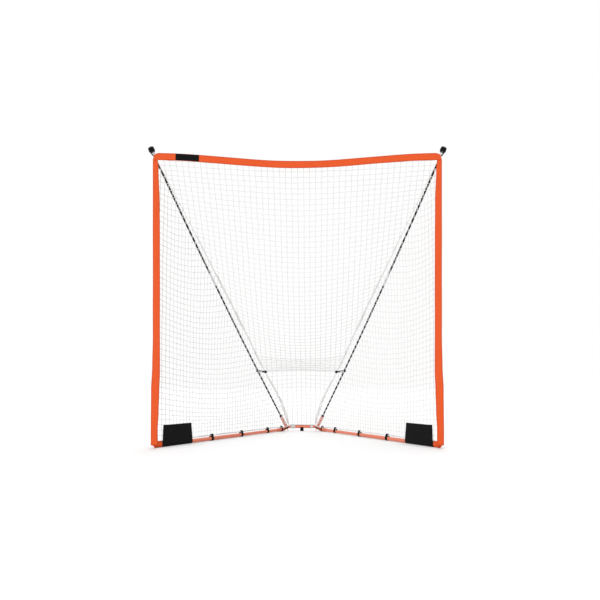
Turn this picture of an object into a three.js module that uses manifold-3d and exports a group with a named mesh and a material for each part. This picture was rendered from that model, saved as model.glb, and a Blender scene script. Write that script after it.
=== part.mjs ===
// A portable lacrosse goal: a V of steel base tubes on the ground, two bowed rods that rise from
// the rear of the V to the top front corners, webbing bands round the mouth, and a white net of
// four panels that hangs between them.
// Millimetres, +Z up. The mouth faces -Y, and the goal's left and right are those of someone who
// looks into the mouth along +Y, so right is +X.
import * as THREE from "three";
import { mergeVertices } from "three/addons/utils/BufferGeometryUtils.js";
import Module from "manifold-3d";

// Overall form
const mouthWidth = 1806; // between the axes of the two base arms at their front ends
const mouthHeight = 1844; // ground to the top band's upper edge at the corners
const depth = 1372; // front plane to the axis of the rear cross tube
const hubWidth = 300; // between the points where the arms' axes meet the rear cross tube's line
const armSetback = 20; // of the arms' front ends behind the front plane

// Fits
const seatGap = 0.3; // between pieces that rest on or in each other
const looseGap = 0.5; // between a net panel and the cord that carries it
const cutOverrun = 2; // how far a cutter passes the face that it cuts
const sameSpot = 1e-3; // corners nearer than this are one
const turnedSides = 20;
const arcSteps = 6;

// Base tubes
const armDiameter = 25.4;
const armWall = 1.2;
const rearTubeDiameter = 22.2;
const rearTubeWall = 1.2;
const frontTubeShare = 0.615; // of the arm's length
const armOverlap = 80; // of the rear tube inside the front tube
const hubTubeDiameter = 27.4;
const hubTubeWall = 2;
const hubSleeveLength = 76; // straight stretch of the hub tube that takes the arm
const armInsertion = 70; // of the rear tube inside that sleeve
const hubBendRun = 24; // from the straight stretch's end to the arms' meeting point
const crossTubeHalfWidth = 105; // straight middle of the hub tube
const crossTubeHeight = 38; // its axis above the ground
const hubBendHandle = 28; // how far each bend keeps its first direction
const tubeSides = 24;
const bentTubeSides = 14;
const hubStepsEach = 4; // in each of the hub tube's five stretches

// Front ends and their plugs
const tubeSetback = 22; // of each front tube's end, from the front end of the arm's line
const plugHeadLength = 4;
const plugSpigotLength = 15;
const plugSpigotWall = 3;

// Straps that tie the net's hem rope to the tubes
const strapWidth = 20;
const strapThickness = 2;
const hubStrapWidth = 11;
const hubStrapThickness = 1;
const strapShares = [0.373, 0.604, 0.834]; // of the arm's length, to the middle of each strap
const hubStrapSetback = 47; // from the arms' meeting point to the middle of the hub strap

// Snap buttons, each a stud on a folded leaf spring
const buttonDiameter = 8.4;
const buttonHoleDiameter = 9.4;
const buttonProud = 3; // above the front tube
const buttonSetback = 55; // from the front tube's rear end
const leafWidth = 8;
const leafThickness = 0.8;
const leafLength = 42;

// Hem rope
const ropeDiameter = 8;
const hemRise = 22; // of the rope's axis over the arm's axis
const ropeSides = 6;
const ropeStepsBetween = 3; // from each point of its route to the next
const ropeStraightRun = 34; // stretch through the hub strap in which it runs straight
const ropeRounding = [
  // its route round the socket, in socket diameters from the rod's foot
  { out: 1, ahead: 1.04 },
  { out: 0.25, ahead: 1.14 },
  { out: -0.45, ahead: 0.87 },
];

// Webbing bands round the mouth
const bandWidth = 44;
const bandThickness = 3;
const bandSag = 50; // of the top band at its middle
const bandInset = 1; // of its outer edge inside the arm's front end
const bandFootOuter = 0.3; // how far its foot's outer edge stands outward, as a share of its width
const bandFootInner = 0.32;
const bandCornerRadius = 40;
const topBandSteps = 24;
const pocketEnd = 62; // of the fabric pocket, from the front end of the arm's line
const pocketThickness = 2;
const pocketNeck = 18; // width of its upper edge
const flapFoot = 20; // ground to the lower edge of its front flap
const labelWidth = 146;
const labelHeight = 41;
const labelThickness = 1.2;
const labelFromEnd = 215; // from the top band's left end to the label's middle

// Corner panels
const panelStart = 85; // from the arm's front end, at its top
const panelLength = 272;
const panelTop = 140; // above the ground
const panelOuterTop = 34;
const panelLean = 22; // of its front edge, which starts nearer to the band at its foot
const panelThickness = 1.6;

// Rods
const rodDiameter = 12.7;
const rodBow = 15; // outward, at mid length
const rodTip = { out: 11, back: 2.6, up: 26 }; // from the bands' upper outer corner
const rodFoot = { out: 128, up: 30 }; // where its axis meets the hub tube
const rodFootLift = 30; // from that point to the rod's lower end
const rodSides = 10;
const rodSteps = 12;
const ferrulePlaceShare = 0.394; // of the rod's length, from the tip
const ferruleDiameter = 16;
const ferruleLength = 110;
const socketDiameter = 25.4;
const socketWall = 1.6;
const socketLength = 130; // from the rod's foot point
const linerFloor = 4;
const linerFlange = 3;

// Rod tips
const capDiameter = 40;
const capLength = 27;
const capBoreDepth = 14;
const capRounding = 10;
const capRoundingSteps = 3;
const sleeveDiameter = 24;
const sleeveLength = 28;
const cornerCordDiameter = 4;
const cornerCordEnd = { in: 6, down: 20 }; // from the bands' upper outer corner
const cordSteps = 8;
const cordSides = 8;

// Net
const cellSize = 170;
const backCellSize = 110;
const seamClearance = 0.7; // cut round each seam cord where a panel meets it
const sideNetDrop = 6; // of a side panel's upper edge below the middle of its seam
const strandWidth = 5;
const strandThickness = 4;
const seamDiameter = 6;
const seamStart = { in: 22, down: 40 }; // from the bands' upper outer corner
const seamEnd = { out: 112, ahead: 20, up: 56.5 }; // ahead of the cross tube's axis
const seamInset = [30, 50, 58, 53, 68, 68, 50]; // inside the rod at even steps down it
const seamDrop = [12, 15, 16, 2, 12, 12, 10]; // below the rod at the same steps
const stepsAboveBall = 4;
const stepsBelowBall = 4;
const ballPlaceShare = 0.745; // of the rod's length, from the tip
const seamSteps = 28;
const seamSamples = 112;
const crossSeamBack = 40; // how far its middle bellies behind the two balls
const crossSeamRise = 10; // how far its middle stands over them
const crossSeamEnd = 5.3; // from the axis of each seam
const topNetSag = 160;
const topNetSagPower = 1.4;
const backNetSag = 18;
const netOverBand = 12; // how far the top panel reaches up behind the band
const netEdgePower = 1.4; // of a panel's rise from its middle to its seams
const netTurnLength = 24; // run in which a side panel turns from the band to the arm's plane
const sideNetBulgePower = 2.5;
const sideNetRearGap = 90; // from a side panel to the end of the arm's length

// Ball bungees
const ballDiameter = 20;
const ballSides = 14;
const ballRings = 10;
const ballSeat = { out: -9, back: -17, up: -5 }; // from the seam to the ball's middle
const bungeeDiameter = 5;
const bungeeSpread = 3.2; // half the distance between its two runs at the ball
const bungeeSlack = 2; // round the rod, both sides together
const bungeeWaist = 20; // from the rod to where the two runs spread round it
const bungeeSteps = 28;

// Rear foot
const footWidth = 28;
const footDepth = 32;
const footHeight = 34;

// Values worked out from those above
const armRadius = armDiameter / 2;
const armHeight = armRadius + seatGap + strapThickness;
const armRun = new THREE.Vector2(mouthWidth / 2 - hubWidth / 2, depth - armSetback);
const armLength = armRun.length();
const armAngle = Math.atan2(armRun.x, armRun.y);
const armStart = new THREE.Vector3(mouthWidth / 2, armSetback, armHeight);
const frontTubeLength = frontTubeShare * armLength;
const hubSleeveEnd = armLength - hubBendRun;
const rearTubeStart = frontTubeLength - armOverlap;
const rearTubeLength = hubSleeveEnd - hubSleeveLength + armInsertion - rearTubeStart;
const ropeRadius = ropeDiameter / 2;
const ropeHeight = armHeight + hemRise;
const hemTop = ropeHeight + ropeRadius;
const pocketTop = hemTop;
const bandBack = bandThickness / 2;
const bandHalfSpan = mouthWidth / 2 - bandInset;
const labelCentre = bandHalfSpan - labelFromEnd;
const netHalf = strandThickness / 2;
const seamRadius = seamDiameter / 2;

const finish = (color, roughness, metalness = 0) =>
  new THREE.MeshStandardMaterial({ color, roughness, metalness });
const orangePaint = finish(0xe8642c, 0.4, 0.1);
const orangeWebbing = finish(0xee5a2d, 0.85);
const blackFabric = finish(0x111112, 0.9);
const blackRubber = finish(0x151516, 0.7);
const blackPlastic = finish(0x18181a, 0.5);
const blackGlassFibre = finish(0x0d0d0e, 0.35);
const whiteCord = finish(0xf2f2f0, 0.9);
const brightSteel = finish(0xc4c6c8, 0.3, 0.9);

const wasm = await Module();
wasm.setup();

function toSolid(geometry) {
  const bare = geometry.index ? geometry.toNonIndexed() : geometry.clone();
  bare.deleteAttribute("normal");
  bare.deleteAttribute("uv");
  const merged = mergeVertices(bare, sameSpot);
  return new wasm.Manifold(
    new wasm.Mesh({
      numProp: 3,
      vertProperties: merged.attributes.position.array,
      triVerts: new Uint32Array(merged.index.array),
    }),
  );
}

function toGeometry(solid) {
  const { vertProperties, triVerts } = solid.getMesh();
  return new THREE.BufferGeometry()
    .setAttribute("position", new THREE.BufferAttribute(vertProperties, 3))
    .setIndex(new THREE.BufferAttribute(triVerts, 1));
}

const cut = (geometry, cutter) => toGeometry(toSolid(geometry).subtract(toSolid(cutter)));
const join = (a, b) => toGeometry(toSolid(a).add(toSolid(b)));

// A round section, with a bore where one is given.
function roundSection(radius, boreRadius, sides) {
  const ring = (r) =>
    Array.from({ length: sides }, (_, i) => {
      const angle = (2 * Math.PI * i) / sides;
      return new THREE.Vector2(r * Math.cos(angle), r * Math.sin(angle));
    });
  const section = new THREE.Shape(ring(radius));
  if (boreRadius) section.holes.push(new THREE.Path(ring(boreRadius)));
  return section;
}

function tubeAlong(curve, steps, radius, sides, boreRadius = 0) {
  return new THREE.ExtrudeGeometry(roundSection(radius, boreRadius, sides), {
    steps,
    extrudePath: curve,
  });
}

const straightTube = (start, end, radius, sides, boreRadius = 0) =>
  tubeAlong(new THREE.LineCurve3(start, end), 1, radius, sides, boreRadius);

// A section in the arm's own X and Z, run along the arm from one distance to another.
function alongArm(section, from, length, curveSegments = arcSteps) {
  const options = { depth: length, bevelEnabled: false, curveSegments };
  return new THREE.ExtrudeGeometry(section, options)
    .rotateX(Math.PI / 2)
    .translate(0, from + length, 0);
}

// The part of a quadratic curve between two of its parameters.
function stretchOf(curve, from, to) {
  const { v0, v1, v2 } = curve;
  const control = v0
    .clone()
    .multiplyScalar((1 - from) * (1 - to))
    .addScaledVector(v1, from * (1 - to) + to * (1 - from))
    .addScaledVector(v2, from * to);
  return new THREE.QuadraticBezierCurve3(curve.getPoint(from), control, curve.getPoint(to));
}

// A turned piece whose profile is listed as [radius, height] and whose axis starts at a point.
function turned(profile, origin, direction, segments = turnedSides) {
  const points = profile.map(([radius, height]) => new THREE.Vector2(radius, height));
  const up = new THREE.Vector3(0, 1, 0);
  const turn = new THREE.Quaternion().setFromUnitVectors(up, direction);
  return new THREE.LatheGeometry(points, segments)
    .applyQuaternion(turn)
    .translate(origin.x, origin.y, origin.z);
}

function mesh(name, geometry, material) {
  const made = new THREE.Mesh(geometry, material);
  made.name = name;
  return made;
}

// Places in the goal's frame for a point given along the right arm, and back again.
const armPoint = (along, up = 0, outward = 0) =>
  new THREE.Vector3(outward, along, up)
    .applyAxisAngle(new THREE.Vector3(0, 0, 1), armAngle)
    .add(armStart);
const armPlace = (point) =>
  point.clone().sub(armStart).applyAxisAngle(new THREE.Vector3(0, 0, 1), -armAngle);

// The right rod's axis from tip to foot, and the seam that runs down inside it.
const tip = new THREE.Vector3(bandHalfSpan + rodTip.out, rodTip.back, mouthHeight + rodTip.up);
const foot = new THREE.Vector3(rodFoot.out, depth, rodFoot.up);
const rodControl = tip.clone().lerp(foot, 0.5);
rodControl.x += 2 * rodBow;
const rodAxis = new THREE.QuadraticBezierCurve3(tip, rodControl, foot);
const rodLength = rodAxis.getLength();
const rodShare = (distance) => distance / rodLength;
const seamPoints = [
  new THREE.Vector3(
    bandHalfSpan - seamStart.in,
    bandBack + seatGap + seamRadius,
    mouthHeight - seamStart.down,
  ),
  ...seamInset.map((inset, i) => {
    const above = Math.min(i + 1, stepsAboveBall) * (ballPlaceShare / stepsAboveBall);
    const below = Math.max(i + 1 - stepsAboveBall, 0) * ((1 - ballPlaceShare) / stepsBelowBall);
    const point = rodAxis.getPoint(above + below);
    return point.add(new THREE.Vector3(-inset, 0, -seamDrop[i]));
  }),
  new THREE.Vector3(seamEnd.out, depth - seamEnd.ahead, seamEnd.up),
];
const seam = new THREE.CatmullRomCurve3(seamPoints, false, "centripetal");
const ballSeam = seamPoints[stepsAboveBall];
const ballSeamShare = stepsAboveBall / (stepsAboveBall + stepsBelowBall);

// The straight line of the socket, through the two ends of the stretch of rod that it holds.
const socketPoint = (distance) => rodAxis.getPoint(1 - rodShare(distance));
const socketUp = socketPoint(socketLength).sub(socketPoint(rodFootLift)).normalize();
const socketFoot = socketPoint(rodFootLift).addScaledVector(socketUp, -rodFootLift);

// A path whose stretches each take the same number of steps.
class PacedPath extends THREE.CurvePath {
  getUtoTmapping(u) {
    return u;
  }
  getPoint(t) {
    const place = t * this.curves.length;
    const i = Math.min(Math.floor(place), this.curves.length - 1);
    return this.curves[i].getPoint(place - i);
  }
}

// Base: the bent hub tube at the rear, with its cross tube raised off the ground.
function hubGeometry(outset = 0) {
  const sleeveMouth = armPoint(hubSleeveEnd - hubSleeveLength);
  const sleeveEnd = armPoint(hubSleeveEnd);
  const bendStart = armPoint(hubSleeveEnd + hubBendHandle);
  const crossEnd = new THREE.Vector3(crossTubeHalfWidth, depth, crossTubeHeight);
  const bendEnd = crossEnd.clone().setX(crossTubeHalfWidth + hubBendHandle);
  const toLeft = (p) => new THREE.Vector3(-p.x, p.y, p.z);
  const path = new PacedPath();
  path.add(new THREE.LineCurve3(sleeveMouth, sleeveEnd));
  path.add(new THREE.CubicBezierCurve3(sleeveEnd, bendStart, bendEnd, crossEnd));
  path.add(new THREE.LineCurve3(crossEnd, toLeft(crossEnd)));
  const leftBend = [crossEnd, bendEnd, bendStart, sleeveEnd].map(toLeft);
  path.add(new THREE.CubicBezierCurve3(...leftBend));
  path.add(new THREE.LineCurve3(toLeft(sleeveEnd), toLeft(sleeveMouth)));
  const bore = outset ? 0 : hubTubeDiameter / 2 - hubTubeWall;
  const steps = hubStepsEach * path.curves.length;
  return tubeAlong(path, steps, hubTubeDiameter / 2 + outset, bentTubeSides, bore);
}

function rearFootGeometry() {
  const block = new THREE.BoxGeometry(footWidth, footDepth, footHeight);
  block.translate(0, depth, footHeight / 2);
  const end = new THREE.Vector3(footWidth, depth, crossTubeHeight);
  const start = end.clone().setX(-footWidth);
  return cut(block, straightTube(start, end, hubTubeDiameter / 2 + seatGap, tubeSides));
}

// A loop round a base tube and the hem rope over it, in the arm's X and Z.
function loopSection(tubeRadius, thickness) {
  const outline = (low, high, path) => {
    const lean = Math.asin((low - high) / hemRise);
    path.absarc(0, 0, low, Math.PI - lean, 2 * Math.PI + lean);
    path.lineTo(high * Math.cos(lean), hemRise + high * Math.sin(lean));
    path.absarc(0, hemRise, high, lean, Math.PI - lean);
    path.closePath();
    return path;
  };
  const low = tubeRadius + seatGap;
  const high = ropeRadius + seatGap;
  const section = outline(low + thickness, high + thickness, new THREE.Shape());
  section.holes.push(outline(low, high, new THREE.Path()));
  return section;
}

// The corner panel's section: a sheet that wraps under the tube and closes on the net.
function panelSection() {
  const inner = armRadius + seatGap;
  const outer = inner + panelThickness;
  const reach = panelTop - armHeight;
  const outerReach = panelOuterTop - armHeight;
  const netSide = netHalf + seatGap;
  const lean = (inner - netSide) / reach;
  const section = new THREE.Shape();
  section.absarc(0, 0, outer, Math.PI, 2 * Math.PI);
  section.lineTo(outer - lean * outerReach, outerReach);
  section.lineTo(inner - lean * outerReach, outerReach);
  section.lineTo(inner, 0);
  section.absarc(0, 0, inner, 2 * Math.PI, Math.PI, true);
  section.lineTo(-netSide, reach);
  section.lineTo(-netSide - panelThickness, reach);
  section.closePath();
  return section;
}

function panelGeometry() {
  const geometry = alongArm(panelSection(), panelStart, panelLength);
  const places = geometry.attributes.position;
  for (let i = 0; i < places.count; i++) {
    if (places.getY(i) < panelStart + sameSpot) {
      const below = (panelTop - armHeight - places.getZ(i)) / panelTop;
      places.setY(i, panelStart - panelLean * below);
    }
  }
  return geometry;
}

// The fabric pocket that ends the side band: a sleeve on the tube, closed ahead by a flap that
// stands in the band's plane.
function pocketGeometry() {
  const bore = armRadius + seatGap;
  const outer = bore + pocketThickness;
  const front = tubeSetback - plugHeadLength - 2 * seatGap;
  const section = new THREE.Shape();
  section.absarc(0, 0, outer, Math.PI, 2 * Math.PI);
  section.lineTo(pocketNeck / 2, pocketTop - armHeight);
  section.lineTo(-pocketNeck / 2, pocketTop - armHeight);
  section.closePath();
  const sleeve = toSolid(alongArm(section, front, pocketEnd - front));
  const flapInner = bandHalfSpan - bandWidth * (1 - bandFootInner);
  const flapOuter = bandHalfSpan + bandWidth * bandFootOuter;
  const flap = new THREE.BoxGeometry(flapOuter - flapInner, bandThickness, pocketTop - flapFoot)
    .translate((flapInner + flapOuter) / 2, 0, (pocketTop + flapFoot) / 2)
    .translate(-armStart.x, -armStart.y, -armStart.z)
    .rotateZ(-armAngle);
  const endRound = roundSection(outer, 0, tubeSides);
  const end = alongArm(endRound, front - seatGap, seatGap + pocketThickness);
  const closed = wasm.Manifold.hull([toSolid(flap), toSolid(end)]);
  const room = roundSection(bore, 0, tubeSides);
  const tube = toSolid(alongArm(room, front, pocketEnd - front + cutOverrun));
  return toGeometry(closed.add(sleeve).subtract(tube));
}

const buttonPlace = frontTubeLength - buttonSetback;
const outwardRod = (radius, from, to, along) =>
  straightTube(
    new THREE.Vector3(from, along, 0),
    new THREE.Vector3(to, along, 0),
    radius,
    bentTubeSides,
  );
const buttonHole = () =>
  outwardRod(buttonHoleDiameter / 2, cutOverrun, armRadius + cutOverrun, buttonPlace);

function armTube(diameter, wall, start, length) {
  const section = roundSection(diameter / 2, diameter / 2 - wall, tubeSides);
  return cut(alongArm(section, start, length), buttonHole());
}

const leafReach = Math.sqrt(
  (rearTubeDiameter / 2 - rearTubeWall - seatGap) ** 2 - (leafWidth / 2) ** 2,
);

function buttonStudGeometry() {
  const base = leafReach + seatGap;
  const profile = [
    [0, base],
    [buttonDiameter / 2, base],
    [buttonDiameter / 2, armRadius + buttonProud / 2],
    [buttonDiameter / 4, armRadius + buttonProud],
    [0, armRadius + buttonProud],
  ];
  const middle = new THREE.Vector3(0, buttonPlace, 0);
  return turned(profile, middle, new THREE.Vector3(1, 0, 0), bentTubeSides);
}

// The folded leaf that pushes the stud out, one leg against each wall of the rear tube.
function leafSpringGeometry() {
  const near = leafReach - leafThickness;
  const fold = buttonPlace + leafLength / 2;
  const tail = buttonPlace - leafLength / 2;
  const bend = buttonPlace + buttonDiameter / 2;
  const leaf = new THREE.Shape();
  leaf.moveTo(near, tail);
  leaf.lineTo(leafReach, tail);
  leaf.lineTo(leafReach, bend);
  leaf.lineTo(0, fold + leafThickness);
  leaf.lineTo(-leafReach, tail);
  leaf.lineTo(-near, tail);
  leaf.lineTo(0, fold - leafThickness);
  leaf.lineTo(near, bend);
  leaf.closePath();
  return new THREE.ExtrudeGeometry(leaf, { depth: leafWidth, bevelEnabled: false }).translate(
    0,
    0,
    -leafWidth / 2,
  );
}

function endPlugGeometry() {
  const spigot = armRadius - armWall - seatGap;
  const profile = [
    [0, -plugHeadLength - seatGap],
    [armRadius, -plugHeadLength - seatGap],
    [armRadius, -seatGap],
    [spigot, -seatGap],
    [spigot, plugSpigotLength],
    [spigot - plugSpigotWall, plugSpigotLength],
    [spigot - plugSpigotWall, 0],
    [0, 0],
  ];
  return turned(profile, new THREE.Vector3(0, tubeSetback, 0), new THREE.Vector3(0, 1, 0));
}

// Rod, its ferrule, and what holds its two ends.
function rodPiece(from, to) {
  return tubeAlong(stretchOf(rodAxis, from, to), rodSteps, rodDiameter / 2, rodSides);
}

function socketGeometry() {
  const place = (distance) => socketFoot.clone().addScaledVector(socketUp, distance);
  const outer = socketDiameter / 2;
  const tube = straightTube(place(0), place(socketLength), outer, tubeSides, outer - socketWall);
  const floorTop = place(rodFootLift - linerFloor - seatGap);
  const plug = straightTube(place(0), floorTop, outer - socketWall / 2, tubeSides);
  const coped = toSolid(join(tube, plug)).subtract(toSolid(hubGeometry(seatGap)));
  return toGeometry(coped.decompose().reduce((a, b) => (a.volume() > b.volume() ? a : b)));
}

function linerGeometry() {
  const outer = socketDiameter / 2 - socketWall - seatGap;
  const bore = rodDiameter / 2 + seatGap;
  const floor = rodFootLift - linerFloor;
  const mouth = socketLength + seatGap;
  const profile = [
    [0, floor],
    [outer, floor],
    [outer, mouth],
    [socketDiameter / 2, mouth],
    [socketDiameter / 2, mouth + linerFlange],
    [bore, mouth + linerFlange],
    [bore, floor + linerFloor - seatGap],
    [0, floor + linerFloor - seatGap],
  ];
  return turned(profile, socketFoot, socketUp);
}

function ferruleGeometry() {
  const half = ferruleLength / 2;
  const middle = rodAxis.getPoint(ferrulePlaceShare);
  const along = rodAxis.getTangent(ferrulePlaceShare);
  const bore = rodDiameter / 2 + seatGap;
  const profile = [
    [bore, -half],
    [ferruleDiameter / 2, -half],
    [ferruleDiameter / 2, half],
    [bore, half],
    [bore, -half],
  ];
  return turned(profile, middle, along);
}

function capGeometry() {
  const radius = capDiameter / 2;
  const bore = rodDiameter / 2 + seatGap;
  const top = capLength - capBoreDepth;
  const rounding = Array.from({ length: capRoundingSteps + 1 }, (_, i) => {
    const angle = (Math.PI / 2) * (i / capRoundingSteps);
    const [out, up] = [Math.cos(angle) - 1, Math.sin(angle) - 1];
    return [radius + capRounding * out, top + capRounding * up];
  });
  const profile = [
    [bore, -capBoreDepth],
    [radius, -capBoreDepth],
    ...rounding,
    [0, top],
    [0, seatGap],
    [bore, seatGap],
    [bore, -capBoreDepth],
  ];
  return turned(profile, tip, rodAxis.getTangent(0).negate());
}

function tipSleeveGeometry() {
  const bore = rodDiameter / 2 + seatGap;
  const top = -capBoreDepth - seatGap;
  const profile = [
    [bore, top - sleeveLength],
    [sleeveDiameter / 2, top - sleeveLength],
    [sleeveDiameter / 2, top],
    [bore, top],
    [bore, top - sleeveLength],
  ];
  return turned(profile, tip, rodAxis.getTangent(0).negate());
}

function cornerCordGeometry() {
  const middle = rodAxis.getPoint(rodShare(capBoreDepth + seatGap + cornerCordDiameter));
  const along = rodAxis.getTangent(0);
  const outward = new THREE.Vector3(1, 0, 0);
  outward.addScaledVector(along, -along.x).normalize();
  const aside = sleeveDiameter / 2 + seatGap + cornerCordDiameter / 2;
  const start = middle.addScaledVector(outward, aside);
  const behindBand = bandBack + seatGap + cornerCordDiameter / 2;
  const end = new THREE.Vector3(
    bandHalfSpan - cornerCordEnd.in,
    behindBand,
    mouthHeight - cornerCordEnd.down,
  );
  const over = start.clone().lerp(end, 0.5).setX(start.x);
  const path = new THREE.CatmullRomCurve3([start, over, end]);
  return tubeAlong(path, cordSteps, cornerCordDiameter / 2, cordSides);
}

// Bands. The top band's lower edge is the curve that the top net panel follows.
const bandDip = (x) => (bandSag / 2) * (1 + Math.cos((Math.PI * x) / bandHalfSpan));
const bandBottom = (x) => mouthHeight - bandWidth - bandDip(x);

function topBandGeometry() {
  const across = (i) => bandHalfSpan * ((2 * i) / topBandSteps - 1);
  const lowerEdge = Array.from({ length: topBandSteps + 1 }, (_, i) => across(i));
  const outline = new THREE.Shape(lowerEdge.map((x) => new THREE.Vector2(x, bandBottom(x))));
  const inner = bandHalfSpan - bandCornerRadius;
  const shoulder = mouthHeight - bandCornerRadius;
  outline.absarc(inner, shoulder, bandCornerRadius, 0, Math.PI / 2);
  for (let i = topBandSteps - 1; i > 0; i--) {
    outline.lineTo(across(i), mouthHeight - bandDip(across(i)));
  }
  outline.absarc(-inner, shoulder, bandCornerRadius, Math.PI / 2, Math.PI);
  const options = { depth: bandThickness, bevelEnabled: false, curveSegments: arcSteps };
  return new THREE.ExtrudeGeometry(outline, options)
    .rotateX(Math.PI / 2)
    .translate(0, bandBack, 0);
}

// Side band edges, as shares of the band's length up from its foot and of its width outward.
const sideBandOuterShares = [
  [0, bandFootOuter],
  [0.04, bandFootOuter],
  [0.18, 0.25],
  [0.27, 0.09],
  [0.38, 0],
  [1, 0],
];
const sideBandInnerShares = [
  [1, 0.3],
  [0.97, 0.2],
  [0.85, 0.05],
  [0.72, 0],
  [0.25, 0],
  [0.18, 0.09],
  [0.11, 0.18],
  [0.04, bandFootInner],
  [0, bandFootInner],
];

function sideBandGeometry() {
  const low = pocketTop + seatGap;
  const high = bandBottom(bandHalfSpan - bandWidth) - seatGap;
  const edge = (shares, side) =>
    shares.map(([up, out]) => {
      const y = low + (high - low) * up;
      return new THREE.Vector2(side + bandWidth * out, y);
    });
  const outline = new THREE.Shape([
    ...edge(sideBandOuterShares, bandHalfSpan),
    ...edge(sideBandInnerShares, bandHalfSpan - bandWidth),
  ]);
  return new THREE.ExtrudeGeometry(outline, { depth: bandThickness, bevelEnabled: false })
    .rotateX(Math.PI / 2)
    .translate(0, bandBack, 0);
}

function labelGeometry() {
  const slope = (bandDip(labelCentre) - bandDip(labelCentre + labelWidth)) / labelWidth;
  const middle = mouthHeight - bandDip(labelCentre) - bandWidth / 2;
  return new THREE.BoxGeometry(labelWidth, labelThickness, labelHeight)
    .rotateY(Math.atan(slope))
    .translate(-labelCentre, -bandBack - seatGap - labelThickness / 2, middle);
}

// Hem rope: along both arms over the tubes, round the sockets, and over the cross tube's front.
const onHub = (hubTubeDiameter / 2 + seatGap + ropeRadius) * Math.SQRT1_2;

// A smooth curve sampled evenly between its points instead of along its length.
class PacedCurve extends THREE.CatmullRomCurve3 {
  getUtoTmapping(u) {
    return u;
  }
}

function hemRopeGeometry() {
  const strapEnd = armLength - hubStrapSetback + hubStrapWidth / 2;
  const [outside, ahead, inside] = ropeRounding.map((place) => {
    const out = rodFoot.out + place.out * socketDiameter;
    return new THREE.Vector3(out, depth - place.ahead * socketDiameter, ropeHeight);
  });
  const half = [
    armPoint(pocketEnd + looseGap, hemRise),
    armPoint(strapEnd - ropeStraightRun, hemRise),
    armPoint(strapEnd, hemRise),
    armPoint(strapEnd + ropeRadius, hemRise),
    outside,
    ahead,
    inside.setZ(ropeHeight + ropeDiameter),
    new THREE.Vector3(crossTubeHalfWidth - ropeDiameter, depth - onHub, crossTubeHeight + onHub),
  ];
  const other = half.map((p) => new THREE.Vector3(-p.x, p.y, p.z)).reverse();
  const points = [...half, ...other];
  const steps = (points.length - 1) * ropeStepsBetween;
  return tubeAlong(new PacedCurve(points, false, "centripetal"), steps, ropeRadius, ropeSides);
}

// Net panels. Each is a sheet of cells in its own flat measure, laid on its surface by a map.
function clipped(polygon, a, b) {
  const side = (p) => (b.x - a.x) * (p.y - a.y) - (b.y - a.y) * (p.x - a.x);
  const kept = [];
  polygon.forEach((p, i) => {
    const q = polygon[(i + 1) % polygon.length];
    const [here, next] = [side(p), side(q)];
    if (here >= 0) kept.push(p);
    if ((here > 0 && next < 0) || (here < 0 && next > 0)) {
      kept.push(p.clone().lerp(q, here / (here - next)));
    }
  });
  return kept;
}

function shrunk(polygon, margin) {
  let inner = polygon.map((p) => p.clone());
  polygon.forEach((p, i) => {
    const q = polygon[(i + 1) % polygon.length];
    const inward = new THREE.Vector2(p.y - q.y, q.x - p.x).setLength(margin);
    inner = clipped(inner, p.clone().add(inward), q.clone().add(inward));
  });
  return inner.length > 2 && Math.abs(THREE.ShapeUtils.area(inner)) > margin ** 2 ? inner : [];
}

function netSheet(cells, map) {
  const places = [];
  const faces = [];
  const numbers = new Map();
  const edges = new Map();
  const number = (p) => {
    const key = p.x.toFixed(3) + " " + p.y.toFixed(3);
    if (!numbers.has(key)) {
      numbers.set(key, places.length / 2);
      const { point, normal } = map(p);
      places.push(point.clone().addScaledVector(normal, netHalf));
      places.push(point.clone().addScaledVector(normal, -netHalf));
    }
    return numbers.get(key);
  };
  const wall = (a, b) => {
    faces.push([2 * a, 2 * a + 1, 2 * b + 1], [2 * a, 2 * b + 1, 2 * b]);
  };
  cells.forEach((cell) => {
    const hole = shrunk(cell, strandWidth / 2);
    const corners = [...cell, ...hole].map(number);
    const triangles = THREE.ShapeUtils.triangulateShape(cell, hole.length ? [hole] : []);
    triangles.forEach((triangle) => {
      const [a, b, c] = triangle.map((i) => corners[i]);
      faces.push([2 * a, 2 * b, 2 * c], [2 * a + 1, 2 * c + 1, 2 * b + 1]);
    });
    const rim = corners.slice(cell.length);
    rim.forEach((a, i) => wall(rim[(i + 1) % rim.length], a));
    const outline = corners.slice(0, cell.length);
    outline.forEach((a, i) => edges.set(a + " " + outline[(i + 1) % outline.length], true));
  });
  for (const key of edges.keys()) {
    const [a, b] = key.split(" ").map(Number);
    if (!edges.has(b + " " + a)) wall(a, b);
  }
  const flat = faces.flat().flatMap((i) => places[i].toArray());
  return new THREE.BufferGeometry().setAttribute(
    "position",
    new THREE.Float32BufferAttribute(flat, 3),
  );
}

// The cells of one strip between two levels, cut at its two slanted ends.
function stripCells(lines, low, high, lowSpan, highSpan) {
  const corner = (x, y) => new THREE.Vector2(x, y);
  const cells = [];
  for (let i = 0; i + 1 < lines.length; i++) {
    let cell = [
      corner(lines[i], low),
      corner(lines[i + 1], low),
      corner(lines[i + 1], high),
      corner(lines[i], high),
    ];
    cell = clipped(cell, corner(lowSpan[1], low), corner(highSpan[1], high));
    cell = clipped(cell, corner(highSpan[0], high), corner(lowSpan[0], low));
    if (cell.length > 2 && Math.abs(THREE.ShapeUtils.area(cell)) > strandWidth ** 2) {
      cells.push(cell);
    }
  }
  return cells;
}

const evenly = (from, to, size) => {
  const count = Math.max(1, Math.round(Math.abs(to - from) / size));
  return Array.from({ length: count + 1 }, (_, i) => from + ((to - from) * i) / count);
};

// The normal of a mapped surface, from two small steps on it.
function withNormal(place, step) {
  return (p) => {
    const point = place(p);
    const acrossStep = place(p.clone().setX(p.x + step)).sub(point);
    const alongStep = place(p.clone().setY(p.y + step)).sub(point);
    return { point, normal: acrossStep.cross(alongStep).normalize() };
  };
}

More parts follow.
